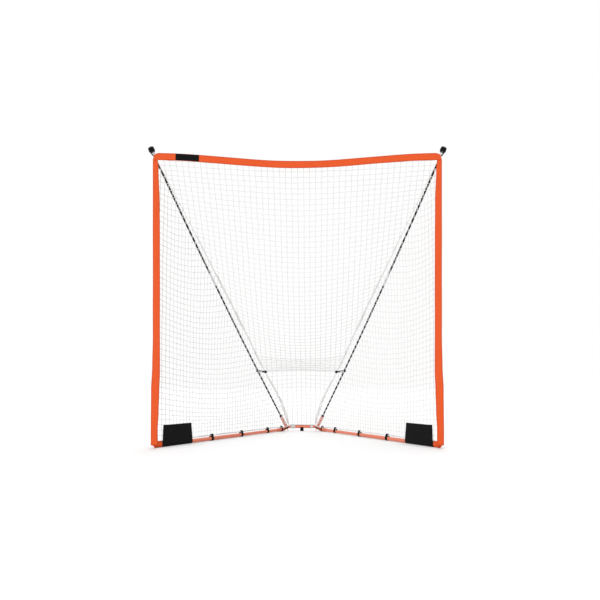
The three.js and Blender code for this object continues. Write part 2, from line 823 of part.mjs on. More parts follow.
// A panel between the two seams. Its flat measure is X and the distance down its middle, and it
// starts and ends the given distances short of the middle line's ends.
function betweenSeams(middle, from, to, size, startGap, endGap) {
  const length = middle.getLength();
  const share = (y) => y / length;
  const edgeAt = (y) => seam.getPoint(from + (to - from) * share(y));
  const halfWidth = (y) => edgeAt(y).x - seamRadius;
  const place = (p) => {
    const y = THREE.MathUtils.clamp(p.y, 0, length);
    const edge = edgeAt(y);
    const out = Math.abs(p.x / edge.x) ** netEdgePower;
    return middle.getPoint(share(y)).lerp(edge, out).setX(p.x);
  };
  const levels = evenly(startGap, length - endGap, size);
  const most = Math.ceil(Math.max(...levels.map(halfWidth)) / size);
  const lines = Array.from({ length: 2 * most + 1 }, (_, i) => (i - most) * size);
  const cells = levels.slice(1).flatMap((level, i) => {
    const [before, after] = [halfWidth(levels[i]), halfWidth(level)];
    return stripCells(lines, levels[i], level, [-before, before], [-after, after]);
  });
  return netSheet(cells, withNormal(place, strandWidth));
}

// A hanging line from one point to another, belly square to the line between them.
class HangingLine extends THREE.Curve {
  constructor(start, end, belly, power, direction) {
    super();
    Object.assign(this, { start, end, belly, power, direction });
  }
  getPoint(t) {
    const bend = this.belly * Math.sin(Math.PI * t ** this.power);
    return this.start.clone().lerp(this.end, t).addScaledVector(this.direction, bend);
  }
}

const crossSeamMiddle = new THREE.Vector3(
  0,
  ballSeam.y + crossSeamBack,
  ballSeam.z + crossSeamRise,
);

function bellied(start, end, belly, power) {
  const chord = end.clone().sub(start).normalize();
  return new HangingLine(start, end, belly, power, new THREE.Vector3(0, chord.z, -chord.y));
}

function topNetGeometry() {
  const behindBand = bandBack + seatGap + netHalf;
  const start = new THREE.Vector3(0, behindBand, bandBottom(0) + netOverBand);
  const middle = bellied(start, crossSeamMiddle, topNetSag, topNetSagPower);
  return seamTrimmed(betweenSeams(middle, 0, ballSeamShare, cellSize, 0, seamDiameter));
}

function backNetGeometry() {
  const overRope = onHub + (ropeRadius + 2 * seatGap + netHalf) * Math.SQRT1_2;
  const end = new THREE.Vector3(0, depth - overRope, crossTubeHeight + overRope);
  const middle = bellied(crossSeamMiddle, end, backNetSag, 1);
  return seamTrimmed(betweenSeams(middle, ballSeamShare, 1, backCellSize, seamDiameter, 0));
}

// A side panel's flat measure is the distance along its arm and the height over the ground.
function sideNetGeometry() {
  const samples = Array.from({ length: seamSamples + 1 }, (_, i) => {
    const point = armPlace(seam.getPoint(i / seamSamples));
    return point.setZ(point.z + armHeight);
  });
  const seamAt = (along) => {
    const i = Math.max(1, samples.findIndex((p) => p.y > along));
    const [a, b] = [samples[i - 1], samples[i]];
    return a.clone().lerp(b, (along - a.y) / (b.y - a.y));
  };
  const front = samples[0].y;
  const bottom = hemTop + seatGap + strapThickness + looseGap;
  const ceiling = (along) => seamAt(along).z - sideNetDrop;
  const place = (p) => {
    const edge = seamAt(p.x);
    const rise = THREE.MathUtils.clamp((p.y - bottom) / (edge.z - bottom), 0, 1);
    const turn = 1 - THREE.MathUtils.smoothstep(p.x, front, front + netTurnLength);
    const still = samples[0].x * turn;
    const outward = still + (edge.x - still) * rise ** sideNetBulgePower;
    return armPoint(p.x, p.y - armHeight, outward);
  };
  const columns = [front, ...evenly(front + netTurnLength, armLength - sideNetRearGap, cellSize)];
  const rows = evenly(bottom, ceiling(front) + cellSize, cellSize);
  const turned = (p) => new THREE.Vector2(p.y, p.x);
  const cells = columns.slice(1).flatMap((column, i) => {
    const spans = [columns[i], column].map((y) => [bottom, ceiling(y)]);
    return stripCells(rows, columns[i], column, ...spans);
  });
  const upright = cells.map((cell) => cell.map(turned).reverse());
  return netSheet(upright, withNormal(place, strandWidth));
}

function seamGeometry(side = 1, outset = 0) {
  const points = seamPoints.map((p) => p.clone().setX(side * p.x));
  const path = new THREE.CatmullRomCurve3(points, false, "centripetal");
  return tubeAlong(path, seamSteps, seamRadius + outset, ropeSides);
}

function crossSeamGeometry(outset = 0) {
  const most = ballSeam.x - crossSeamEnd;
  const points = evenly(-most, most, backCellSize).map((x) => {
    const out = Math.abs(x / ballSeam.x) ** netEdgePower;
    return crossSeamMiddle.clone().lerp(ballSeam, out).setX(x);
  });
  const path = new PacedCurve(points, false, "centripetal");
  return tubeAlong(path, 2 * (points.length - 1), seamRadius + outset, ropeSides);
}

const seamTrimmed = (net) =>
  [seamGeometry(1, seamClearance), seamGeometry(-1, seamClearance), crossSeamGeometry(seamClearance)]
    .reduce(cut, net);

// Ball bungee: an elastic loop round the rod whose two runs end in the ball inside the net.
const ball = ballSeam.clone().add(new THREE.Vector3(ballSeat.out, ballSeat.back, ballSeat.up));
const rodAtBall = rodAxis.getPoint(ballPlaceShare);
const alongRod = rodAxis.getTangent(ballPlaceShare);
const toBall = ball.clone().sub(rodAtBall).normalize();
const acrossBungee = alongRod.clone().cross(toBall).normalize();

function bungeeGeometry(outset = 0) {
  const grip = (rodDiameter + bungeeDiameter + bungeeSlack) / 2;
  const at = (origin, forward, aside) =>
    origin.clone().addScaledVector(toBall, forward).addScaledVector(acrossBungee, aside);
  const ends = -ballDiameter / 2 - looseGap;
  const round = grip * Math.SQRT1_2;
  const points = [
    at(ball, ends, bungeeSpread),
    at(rodAtBall, bungeeWaist, round),
    at(rodAtBall, 0, grip),
    at(rodAtBall, -round, round),
    at(rodAtBall, -grip, 0),
    at(rodAtBall, -round, -round),
    at(rodAtBall, 0, -grip),
    at(rodAtBall, bungeeWaist, -round),
    at(ball, ends, -bungeeSpread),
  ];
  const path = new THREE.CatmullRomCurve3(points, false, "centripetal");
  return tubeAlong(path, bungeeSteps, bungeeDiameter / 2 + outset, ropeSides);
}

// One side of the goal, built as the right side.
function goalSide(side) {
  const named = (name) => side + "_" + name;
  const group = new THREE.Group();
  const arm = new THREE.Group();
  arm.position.copy(armStart);
  arm.rotation.z = armAngle;
  group.add(arm);

  const bareLength = frontTubeLength - tubeSetback;
  const frontTube = armTube(armDiameter, armWall, tubeSetback, bareLength);
  const rearTube = armTube(rearTubeDiameter, rearTubeWall, rearTubeStart, rearTubeLength);
  arm.add(mesh(named("front_tube"), frontTube, orangePaint));
  arm.add(mesh(named("rear_tube"), rearTube, orangePaint));
  arm.add(mesh(named("snap_button"), buttonStudGeometry(), brightSteel));
  arm.add(mesh(named("button_spring"), leafSpringGeometry(), brightSteel));
  arm.add(mesh(named("end_plug"), endPlugGeometry(), blackPlastic));
  arm.add(mesh(named("band_pocket"), pocketGeometry(), orangeWebbing));
  arm.add(mesh(named("corner_panel"), panelGeometry(), blackFabric));
  strapShares.forEach((share, i) => {
    const middle = share * armLength;
    const tube = middle < frontTubeLength ? armRadius : rearTubeDiameter / 2;
    const section = loopSection(tube, strapThickness);
    const strap = alongArm(section, middle - strapWidth / 2, strapWidth);
    arm.add(mesh(named("hem_strap_" + (i + 1)), strap, blackFabric));
  });
  const hubLoop = loopSection(hubTubeDiameter / 2, hubStrapThickness);
  const hubStrapStart = armLength - hubStrapSetback - hubStrapWidth / 2;
  const hubStrap = alongArm(hubLoop, hubStrapStart, hubStrapWidth);
  arm.add(mesh(named("hub_strap"), hubStrap, blackFabric));

  const ferruleEnd = rodLength * ferrulePlaceShare;
  const upperEnd = rodShare(ferruleEnd - seatGap / 2);
  const lowerStart = rodShare(ferruleEnd + seatGap / 2);
  const lowerEnd = 1 - rodShare(rodFootLift);
  group.add(mesh(named("rod_upper"), rodPiece(0, upperEnd), blackGlassFibre));
  group.add(mesh(named("rod_lower"), rodPiece(lowerStart, lowerEnd), blackGlassFibre));
  group.add(mesh(named("rod_ferrule"), ferruleGeometry(), brightSteel));
  group.add(mesh(named("rod_socket"), socketGeometry(), orangePaint));
  group.add(mesh(named("socket_liner"), linerGeometry(), blackPlastic));
  group.add(mesh(named("rod_cap"), capGeometry(), blackRubber));
  group.add(mesh(named("tip_sleeve"), tipSleeveGeometry(), whiteCord));
  group.add(mesh(named("corner_cord"), cornerCordGeometry(), blackFabric));

  group.add(mesh(named("side_band"), sideBandGeometry(), orangeWebbing));
  const sideNet = cut(seamTrimmed(sideNetGeometry()), bungeeGeometry(looseGap));
  group.add(mesh(named("side_net"), sideNet, whiteCord));
  group.add(mesh(named("net_seam"), seamGeometry(), whiteCord));
  group.add(mesh(named("bungee_cord"), bungeeGeometry(), blackFabric));
  const sphere = new THREE.SphereGeometry(ballDiameter / 2, ballSides, ballRings);
  const ballMesh = mesh(named("bungee_ball"), sphere, blackPlastic);
  ballMesh.position.copy(ball);
  group.add(ballMesh);
  return group;
}

const right = goalSide("right");
const left = goalSide("left");
left.scale.x = -1;

const goal = new THREE.Group();
goal.add(right, left);
goal.add(mesh("rear_hub", hubGeometry(), orangePaint));
goal.add(mesh("rear_foot", rearFootGeometry(), blackRubber));
goal.add(mesh("hem_rope", hemRopeGeometry(), whiteCord));
goal.add(mesh("top_band", topBandGeometry(), orangeWebbing));
goal.add(mesh("band_label", labelGeometry(), blackFabric));
goal.add(mesh("top_net", topNetGeometry(), whiteCord));
goal.add(mesh("back_net", backNetGeometry(), whiteCord));
goal.add(mesh("cross_seam", crossSeamGeometry(), whiteCord));

// The origin is on the ground under the middle of the whole goal.
const bounds = new THREE.Box3().setFromObject(goal, true);
goal.position.y = -(bounds.min.y + bounds.max.y) / 2;

export default goal;
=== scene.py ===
import math
import random

import bmesh
import bpy
from mathutils import Matrix, Vector


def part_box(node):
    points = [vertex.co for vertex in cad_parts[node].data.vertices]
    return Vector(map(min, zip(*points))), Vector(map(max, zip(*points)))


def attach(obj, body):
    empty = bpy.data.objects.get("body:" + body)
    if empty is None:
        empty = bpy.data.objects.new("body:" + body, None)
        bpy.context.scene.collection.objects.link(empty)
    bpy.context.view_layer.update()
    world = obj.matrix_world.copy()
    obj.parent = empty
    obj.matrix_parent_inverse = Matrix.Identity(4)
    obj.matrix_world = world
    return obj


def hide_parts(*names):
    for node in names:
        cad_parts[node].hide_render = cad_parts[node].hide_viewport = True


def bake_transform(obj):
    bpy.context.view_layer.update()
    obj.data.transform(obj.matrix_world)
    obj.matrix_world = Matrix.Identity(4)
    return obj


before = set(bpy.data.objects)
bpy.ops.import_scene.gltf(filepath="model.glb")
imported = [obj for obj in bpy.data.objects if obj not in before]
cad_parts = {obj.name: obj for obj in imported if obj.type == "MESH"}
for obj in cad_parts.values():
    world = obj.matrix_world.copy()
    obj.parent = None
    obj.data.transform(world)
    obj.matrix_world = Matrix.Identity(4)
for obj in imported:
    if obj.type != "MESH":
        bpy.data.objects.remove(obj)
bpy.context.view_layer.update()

# Camera: level, at knee height in front of the goal and a little right of its middle. The shift
# frames the goal as a picture cropped from a larger one does.
front_plane = sum(corner.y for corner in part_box("top_band")) / 2
camera_out = 0.110
camera_back = 3.920
camera_height = 0.421


def in_scene(name, data):
    """A new object in the scene, for the camera, lamp, curve or mesh given."""
    thing = bpy.data.objects.new(name, data)
    bpy.context.scene.collection.objects.link(thing)
    return thing


camera = in_scene("camera", bpy.data.cameras.new("camera"))
camera.location = (camera_out, front_plane - camera_back, camera_height)
camera.rotation_euler = (math.pi / 2, 0, 0)
camera.data.lens = 37.68
camera.data.sensor_width = 36
camera.data.shift_x = -0.025
camera.data.shift_y = 0.135
bpy.context.scene.camera = camera
bpy.context.scene.view_settings.view_transform = "Standard"


# Studio: a white floor under a white room, lit from above and behind and from the front left by
# two broad skylights. Rays that show the room see it pure white; the goal gets a grey one's light.
class Wire:
    """A shader socket. A sum written on it adds the Math nodes that work it out."""

    def __init__(self, nodes, socket):
        self.nodes = nodes
        self.socket = socket

    def math(self, operation, *terms):
        return self.nodes.add("ShaderNodeMath", {"operation": operation}, dict(enumerate(terms)))

    def __add__(self, other):
        return self.math("ADD", self, other)

    def __radd__(self, other):
        return self.math("ADD", other, self)

    def __sub__(self, other):
        return self.math("SUBTRACT", self, other)

    def __rsub__(self, other):
        return self.math("SUBTRACT", other, self)

    def __mul__(self, other):
        return self.math("MULTIPLY", self, other)

    def __rmul__(self, other):
        return self.math("MULTIPLY", other, self)

    def __lt__(self, other):
        return self.math("LESS_THAN", self, other)

    def __abs__(self):
        return self.math("ABSOLUTE", self)

    def sine(self):
        return self.math("SINE", self)

    def within(self, low, high):
        """1 where the value lies between the two, and 0 elsewhere."""
        return abs(self - (low + high) / 2) < (high - low) / 2


class Nodes:
    """A node tree, and the one way in which nodes are added to it."""

    def __init__(self, tree):
        self.tree = tree

    def add(self, kind, settings, sockets, output=0):
        node = self.tree.nodes.new(kind)
        for name, value in settings.items():
            setattr(node, name, value)
        for name, value in sockets.items():
            self.feed(node.inputs[name], value)
        return Wire(self, node.outputs[output])

    def feed(self, socket, value):
        if isinstance(value, Wire):
            self.tree.links.new(value.socket, socket)
        else:
            socket.default_value = value

    def mixed(self, share, first, second):
        """The first colour where the share is 0 and the second where it is 1."""
        colours = {0: share, 6: first, 7: second}
        return self.add("ShaderNodeMix", {"data_type": "RGBA"}, colours, 2)

    def seen(self):
        """1 for a ray that shows the thing to the eye, itself or in a gloss or through glass."""
        rays = [self.add("ShaderNodeLightPath", {}, {}, name) for name in
                ("Is Camera Ray", "Is Glossy Ray", "Is Transmission Ray")]
        return rays[0].math("MAXIMUM", rays[0].math("MAXIMUM", rays[0], rays[1]), rays[2])


def grey(level):
    return (level, level, level, 1)


room = bpy.data.worlds.new("room")
room.use_nodes = True
bpy.context.scene.world = room
room_nodes = Nodes(room.node_tree)
room_colour = room_nodes.mixed(room_nodes.seen(), grey(0.52), grey(1))
room_nodes.feed(room.node_tree.nodes["Background"].inputs["Color"], room_colour)


class Finish:
    """A material on a Principled shader, and the name of the slot that its pieces belong to."""

    def __init__(self, name, slot, constants):
        self.material = bpy.data.materials.new(name)
        self.material.use_nodes = True
        self.slot = slot
        self.nodes = Nodes(self.material.node_tree)
        self.shader = self.material.node_tree.nodes["Principled BSDF"]
        for socket, value in constants.items():
            self.paint(socket, value)

    def paint(self, socket, value):
        self.nodes.feed(self.shader.inputs[socket], value)

    def place(self, kind="Object"):
        """Where a point lies: on the object, or by its UV map, which is in metres on cloth and in
        shares of length and girth on a cord."""
        return self.nodes.add("ShaderNodeTexCoord", {}, {}, kind)

    def axes(self, place):
        split = {"Vector": place}
        return [self.nodes.add("ShaderNodeSeparateXYZ", {}, split, axis) for axis in "XYZ"]

    def noise(self, place, scale, detail=2.0):
        sockets = {"Vector": place, "Scale": scale, "Detail": detail}
        return self.nodes.add("ShaderNodeTexNoise", {}, sockets)

    def stretched(self, place, scale):
        sockets = {"Vector": place, "Scale": scale}
        return self.nodes.add("ShaderNodeMapping", {}, sockets)

    def bump(self, height, distance, strength=1.0):
        sockets = {"Height": height, "Distance": distance, "Strength": strength}
        self.paint("Normal", self.nodes.add("ShaderNodeBump", {}, sockets))


def mesh_of(shape, name):
    """The mesh of a shape that is ready."""
    made = bpy.data.meshes.new(name)
    shape.to_mesh(made)
    return made


def skylight(name, source, breadth, strength):
    """A broad lamp that shines from the direction given."""
    lamp = bpy.data.lights.new(name, "SUN")
    lamp.angle = breadth
    lamp.energy = strength
    in_scene(name, lamp).rotation_euler = Vector(source).to_track_quat("Z", "Y").to_euler()


floor_size = 60.0
floor_shape = bmesh.new()
bmesh.ops.create_grid(floor_shape, x_segments=1, y_segments=1, size=floor_size / 2)
floor_mesh = mesh_of(floor_shape, "floor")
floor_finish = Finish("floor_paper", None, {"Base Color": grey(0.8), "Roughness": 1.0,
                                            "Specular IOR Level": 0.0, "Emission Strength": 1.0})
floor_glow = floor_finish.nodes.mixed(floor_finish.nodes.seen(), grey(0), grey(0.085))
floor_finish.paint("Emission Color", floor_glow)
floor_mesh.materials.append(floor_finish.material)
in_scene("floor", floor_mesh)
skylight("overhead", (0.1, 0.35, 1.0), 0.7, 1.7)
skylight("front", (-0.4, -1.0, 0.6), 0.9, 1.35)

# Rear hub: a bent steel tube that joins the two base arms. It has a straight sleeve for each arm
# and a cross tube between them, raised off the ground, and is powder coated orange.
goal_depth = 1.372
arm_start = Vector((0.903, front_plane + 0.020, 0.015))
arm_in = 0.753
arm_back = 1.352
arm_angle = math.atan2(arm_in, arm_back)
arm_length = math.hypot(arm_in, arm_back)
rearward = Vector((-math.sin(arm_angle), math.cos(arm_angle), 0))
outward = Vector((math.cos(arm_angle), math.sin(arm_angle), 0))
upward = Vector((0, 0, 1))
mirror = Matrix.Scale(-1, 4, (1, 0, 0))


def on_arm(along, up=0.0, out=0.0):
    """A place given along the right arm from its front end, over its axis and outward of it."""
    return arm_start + along * rearward + up * upward + out * outward


def add(name, mesh, finish, body=None, stands_for=()):
    """Puts a finished mesh in the scene, on a body, in the place of the CAD nodes named."""
    piece = in_scene(name, mesh)
    mesh.materials.clear()
    mesh.materials.append(finish.material)
    if body:
        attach(piece, body)
    if stands_for:
        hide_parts(*stands_for)
    return piece


def own_body(side, body):
    """A side's own body of a name. Both sides share the frame's, or have none."""
    return body if body in (None, "frame_and_net") else f"{side}_{body}"


def add_pair(name, mesh, finish, body=None, stands_for=()):
    """Adds a right piece and its mirror image, each on its side's own body."""
    pair = []
    for side in ("right", "left"):
        own = mesh.copy()
        if side == "left":
            own.transform(mirror)
            own.flip_normals()
        nodes = [f"{side}_{node}" for node in stands_for]
        pair.append(add(f"{side}_{name}", own, finish, own_body(side, body), nodes))
    return pair


def eased(mesh, angle=40):
    """Smooth shading, with the edges that turn by more than the angle kept sharp."""
    mesh.shade_smooth()
    mesh.set_sharp_from_angle(angle=math.radians(angle))
    return mesh


def evaluated(holder):
    """The mesh that a holder's curve or modifier makes. The holder is then removed."""
    view = bpy.context.evaluated_depsgraph_get()
    made = bpy.data.meshes.new_from_object(holder.evaluated_get(view))
    bpy.data.objects.remove(holder)
    return made


def with_modifier(mesh, kind, **settings):
    """The mesh as a modifier leaves it."""
    holder = in_scene("holder", mesh)
    modifier = holder.modifiers.new(kind, kind)
    for name, value in settings.items():
        setattr(modifier, name, value)
    return evaluated(holder)


def cords(lines, radius, resolution=1, closed=False, capped=True):
    """Round cords along lines of points, with their UV map in shares of length and girth."""
    curve = bpy.data.curves.new("cords", "CURVE")
    curve.dimensions = "3D"
    curve.bevel_depth = radius
    curve.bevel_resolution = resolution
    curve.use_fill_caps = capped
    for line in lines:
        spline = curve.splines.new("POLY")
        spline.points.add(len(line) - 1)
        for point, place in zip(spline.points, line):
            point.co = (*place, 1)
        spline.use_cyclic_u = closed
        spline.use_smooth = True
    return evaluated(in_scene("cords", curve))


def bent(start, start_handle, end_handle, end, steps):
    """Points on a bend that leaves and arrives along its two handles."""
    points = []
    for step in range(steps + 1):
        t = step / steps
        u = 1 - t
        points.append(start * u**3 + start_handle * 3 * u * u * t
                      + end_handle * 3 * u * t * t + end * t**3)
    return points


hub_radius = 0.0137
hub_wall = 0.002
sleeve_length = 0.076
bend_setback = 0.024
bend_handle = 0.028
cross_straight = 0.045
hub_end = arm_length - bend_setback
cross_end = Vector((0.105, front_plane + goal_depth, 0.038))
hub_bend = bent(on_arm(hub_end), on_arm(hub_end + bend_handle),
                cross_end + Vector((bend_handle, 0, 0)), cross_end, 16)
hub_sleeve = [on_arm(hub_end - sleeve_length * (1 - step / 4)) for step in range(4)]
right_half = hub_sleeve + hub_bend + [Vector((cross_straight, cross_end.y, cross_end.z))]
hub_line = right_half + [mirror @ point for point in reversed(right_half)]

paint = Finish("orange_powder_coat", "orange_paint", {"Base Color": (0.80, 0.19, 0.09, 1),
                                                      "Coat Weight": 0.4, "Coat Roughness": 0.18})
paint_place = paint.place()
paint.paint("Roughness", 0.34 + paint.noise(paint_place, 90.0) * 0.12)
paint.bump(paint.noise(paint_place, 900.0), 0.0003, 0.35)

hub_tube = with_modifier(cords([hub_line], hub_radius, 6, capped=False), "SOLIDIFY",
                         thickness=hub_wall, offset=-1.0)
add("hub_tube", eased(hub_tube), paint, "frame_and_net", ["rear_hub"])

# Rear foot: a moulded black rubber block with a round seat, pressed up under the cross tube. It
# takes the rear's weight.
foot_size = Vector((0.028, 0.032, 0.034))
foot_gap = 0.0002
foot_seat = hub_radius + foot_gap
foot_edge = 0.0025
foot_edge_turn = 0.9
rubber = Finish("black_rubber", "black_rubber", {"Base Color": grey(0.003),
                                                 "Specular IOR Level": 0.12})
rubber_grain = rubber.noise(rubber.place(), 500.0, 4.0)
rubber.paint("Roughness", 0.55 + rubber_grain * 0.25)
rubber.bump(rubber_grain, 0.0002, 0.5)
foot_shape = bmesh.new()
bmesh.ops.create_cube(foot_shape, size=1)
bmesh.ops.scale(foot_shape, vec=foot_size, verts=foot_shape.verts)
bmesh.ops.translate(foot_shape, vec=(0, cross_end.y, foot_size.z / 2), verts=foot_shape.verts)
for tenth in range(2, 9):
    parts = foot_shape.verts[:] + foot_shape.edges[:] + foot_shape.faces[:]
    cut_y = cross_end.y + (tenth / 10 - 0.5) * foot_size.y
    bmesh.ops.bisect_plane(foot_shape, geom=parts, plane_co=(0, cut_y, 0), plane_no=(0, 1, 0))
for corner in foot_shape.verts:
    across = corner.co.y - cross_end.y
    if corner.co.z > foot_size.z / 2 and abs(across) < foot_seat:
        corner.co.z = min(corner.co.z, cross_end.z - math.sqrt(foot_seat**2 - across**2))
bmesh.ops.recalc_face_normals(foot_shape, faces=foot_shape.faces)
foot_block = with_modifier(mesh_of(foot_shape, "foot"), "BEVEL", width=foot_edge, segments=3,
                           angle_limit=foot_edge_turn)
add("hub_foot", eased(foot_block), rubber, "frame_and_net", ["rear_foot"])


# Base arms: two lengths of straight steel tube a side, powder coated orange. The slimmer rear
# length slides in the front one, where a bright snap button on a folded leaf spring holds it,
# and ends in the hub. A black plastic plug closes the front end.
def turned(profile, origin, direction, sides=48):
    """A turned piece from its profile of radius and height, which runs from the origin given in
    the direction given."""
    shape = bmesh.new()
    rim = [shape.verts.new((radius, 0, height)) for radius, height in profile]
    wire = [shape.edges.new(pair) for pair in zip(rim, rim[1:] + rim[:1])]
    bmesh.ops.spin(shape, geom=rim + wire, cent=(0, 0, 0), axis=(0, 0, 1), angle=math.tau,
                   steps=sides, use_merge=True)
    bmesh.ops.remove_doubles(shape, verts=shape.verts, dist=1e-6)
    bmesh.ops.dissolve_degenerate(shape, edges=shape.edges, dist=1e-6)
    bmesh.ops.recalc_face_normals(shape, faces=shape.faces)
    made = eased(mesh_of(shape, "turned"))
    turn = direction.to_track_quat("Z", "Y").to_matrix().to_4x4()
    made.transform(Matrix.Translation(origin) @ turn)
    return made


fit_gap = 0.0003
tube_ease = 0.0005


def tube(radius, wall, length, origin, direction):
    """A length of tube with eased rims."""
    bore = radius - wall
    inner = bore + tube_ease
    outer = radius - tube_ease
    last = length - tube_ease
    return turned([(inner, 0), (outer, 0), (radius, tube_ease), (radius, last),
                   (outer, length), (inner, length), (bore, last), (bore, tube_ease)],
                  origin, direction)


front_tube_radius = 0.0127
rear_tube_radius = 0.0111
tube_wall = 0.0012
tube_setback = 0.022
tube_overlap = 0.080
tube_in_hub = 0.070
front_tube_share = 0.615
front_tube_length = front_tube_share * arm_length
rear_tube_start = front_tube_length - tube_overlap
rear_tube_length = hub_end - sleeve_length + tube_in_hub - rear_tube_start

front_tube = tube(front_tube_radius, tube_wall, front_tube_length - tube_setback,
                  on_arm(tube_setback), rearward)
add_pair("arm_front", front_tube, paint, "arm", ["front_tube"])
rear_tube = tube(rear_tube_radius, tube_wall, rear_tube_length, on_arm(rear_tube_start), rearward)
add_pair("arm_rear", rear_tube, paint, "arm", ["rear_tube"])

steel = Finish("bright_steel", "bright_steel", {"Base Color": (0.62, 0.63, 0.64, 1),
                                                "Metallic": 1.0})
steel_grain = steel.noise(steel.stretched(steel.place(), (600.0, 600.0, 40.0)), 1.0, 3.0)
steel.paint("Roughness", 0.24 + steel_grain * 0.14)
for side in ("right", "left"):
    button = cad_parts[f"{side}_snap_button"]
    button.data.materials.clear()
    button.data.materials.append(steel.material)

button_setback = 0.055
button_place = front_tube_length - button_setback
button_radius = 0.0042
leaf_half = 0.021
leaf_width = 0.008
leaf_thickness = 0.0008
leaf_face = 0.0087
leaf_reach = leaf_face - leaf_thickness / 2
fold_half = 0.0016
fold_setback = 0.004
fold_handle = 0.0013
leaf_foot = on_arm(button_place - leaf_half, out=-leaf_reach)
leaf_neck = on_arm(button_place + leaf_half - fold_setback, out=-fold_half)
leaf_fold = on_arm(button_place + leaf_half + fold_handle, out=-fold_half)
across_fold = outward * 2 * fold_half
leaf_bend = on_arm(button_place + button_radius, out=leaf_reach)
leaf_end = on_arm(button_place - leaf_half, out=leaf_reach)
leaf_line = [leaf_foot.lerp(leaf_neck, step / 12) for step in range(12)]
leaf_line += bent(leaf_neck, leaf_fold, leaf_fold + across_fold, leaf_neck + across_fold, 12)
for start, end in ((leaf_neck + across_fold, leaf_bend), (leaf_bend, leaf_end)):
    leaf_line += [start.lerp(end, step / 6) for step in range(1, 7)]


def sheeting(columns, rows, place, length, width, thickness):
    """A thin piece laid out by a rule from its two shares, with its UV map in metres."""
    shape = bmesh.new()
    bmesh.ops.create_grid(shape, x_segments=columns, y_segments=rows, size=0.5)
    weave = shape.loops.layers.uv.new("cloth")
    for face in shape.faces:
        for loop in face.loops:
            loop[weave].uv = ((loop.vert.co.x + 0.5) * length, (loop.vert.co.y + 0.5) * width)
    for point in shape.verts:
        point.co = place(point.co.x + 0.5, point.co.y + 0.5)
    made = mesh_of(shape, "sheeting")
    made.shade_smooth()
    return with_modifier(made, "SOLIDIFY", thickness=thickness, offset=0.0)


def leaf_place(u, v):
    return leaf_line[round(u * (len(leaf_line) - 1))] + upward * (v - 0.5) * leaf_width


def blend_pair(pair, start, end):
    """Bakes each piece's place into its mesh. The two places, given on the right, are mirrored for
    the left piece but change nothing."""
    for side, piece, turn in zip(("right", "left"), pair, (Matrix.Identity(4), mirror)):
        turn @ start
        turn @ end
        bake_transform(piece)


leaf = sheeting(len(leaf_line) - 1, 2, leaf_place, leaf_half * 4, leaf_width, leaf_thickness)
leaves = add_pair("button_leaf", leaf, steel, None, ["button_spring"])
blend_pair(leaves, leaf_foot, leaf_end)

plastic = Finish("black_plastic", "black_plastic", {"Base Color": grey(0.006),
                                                    "Specular IOR Level": 0.25})
plastic.paint("Roughness", 0.38 + plastic.noise(plastic.place(), 260.0) * 0.15)
plug_face = 0.004
plug_reach = 0.015
plug_wall = 0.003
plug_ease = 0.0015
plug_body = front_tube_radius - tube_wall - fit_gap
plug = turned([(0, -plug_face), (front_tube_radius - plug_ease, -plug_face),
               (front_tube_radius, plug_ease - plug_face), (front_tube_radius, -fit_gap),
               (plug_body, -fit_gap), (plug_body, plug_reach), (plug_body - plug_wall, plug_reach),
               (plug_body - plug_wall, 0), (0, 0)], on_arm(tube_setback), rearward)
add_pair("arm_plug", plug, plastic, "arm", ["end_plug"])

# Rods: black glass-fibre rods in two lengths, joined end to end by a bright ferrule. Each stands
# in a welded orange socket on the hub, with a black plastic liner, and is sprung into a bow.
rod_tip = Vector((0.913, front_plane + 0.0026, 1.870))
rod_foot = Vector((0.128, front_plane + goal_depth, 0.030))
rod_bow = 0.030
rod_control = rod_tip.lerp(rod_foot, 0.5) + Vector((rod_bow, 0, 0))
rod_length = 2.4245
rod_radius = 0.00635
rod_bore = rod_radius + fit_gap
rod_setback = 0.030
rod_end = 1 - rod_setback / rod_length
ferrule_share = 0.394
ferrule_radius = 0.008
ferrule_length = 0.110


def on_rod(share):
    """A place on the right rod's middle line, at a share of the way down from its tip."""
    rest = 1 - share
    return rod_tip * rest**2 + rod_control * 2 * share * rest + rod_foot * share**2


def down_rod(share):
    return ((rod_control - rod_tip) * (1 - share) + (rod_foot - rod_control) * share).normalized()


glass_fibre = Finish("black_glass_fibre", "black_rod", {"Base Color": grey(0.002),
                                                        "Specular IOR Level": 0.1})
fibre_run = glass_fibre.stretched(glass_fibre.place("UV"), (6.0, 60.0, 1.0))
glass_fibre.paint("Roughness", 0.3 + glass_fibre.noise(fibre_run, 1.0, 3.0) * 0.2)
for name, node, start, end in (("rod_top", "rod_upper", 0, ferrule_share),
                               ("rod_bottom", "rod_lower", ferrule_share, rod_end)):
    line = [on_rod(start + (end - start) * step / 24) for step in range(25)]
    add_pair(name, eased(cords([line], rod_radius, 6)), glass_fibre, "frame_and_net", [node])

ferrule_half = ferrule_length / 2
ferrule_lip = 0.001
ferrule = turned([(rod_bore, -ferrule_half), (ferrule_radius - ferrule_lip / 2, -ferrule_half),
                  (ferrule_radius, ferrule_lip - ferrule_half),
                  (ferrule_radius, ferrule_half - ferrule_lip),
                  (ferrule_radius - ferrule_lip / 2, ferrule_half), (rod_bore, ferrule_half)],
                 on_rod(ferrule_share), down_rod(ferrule_share), 32)
add_pair("rod_joint", ferrule, steel, "frame_and_net", ["rod_ferrule"])

socket_radius = 0.0127
socket_wall = 0.0016
socket_length = 0.130
socket_lift = 0.004
socket_up = (on_rod(1 - socket_length / rod_length) - on_rod(rod_end)).normalized()
socket_base = on_rod(rod_end) - rod_setback * socket_up
socket = tube(socket_radius, socket_wall, socket_length - socket_lift,
              socket_base + socket_lift * socket_up, socket_up)
add_pair("socket", socket, paint, "frame_and_net", ["rod_socket"])

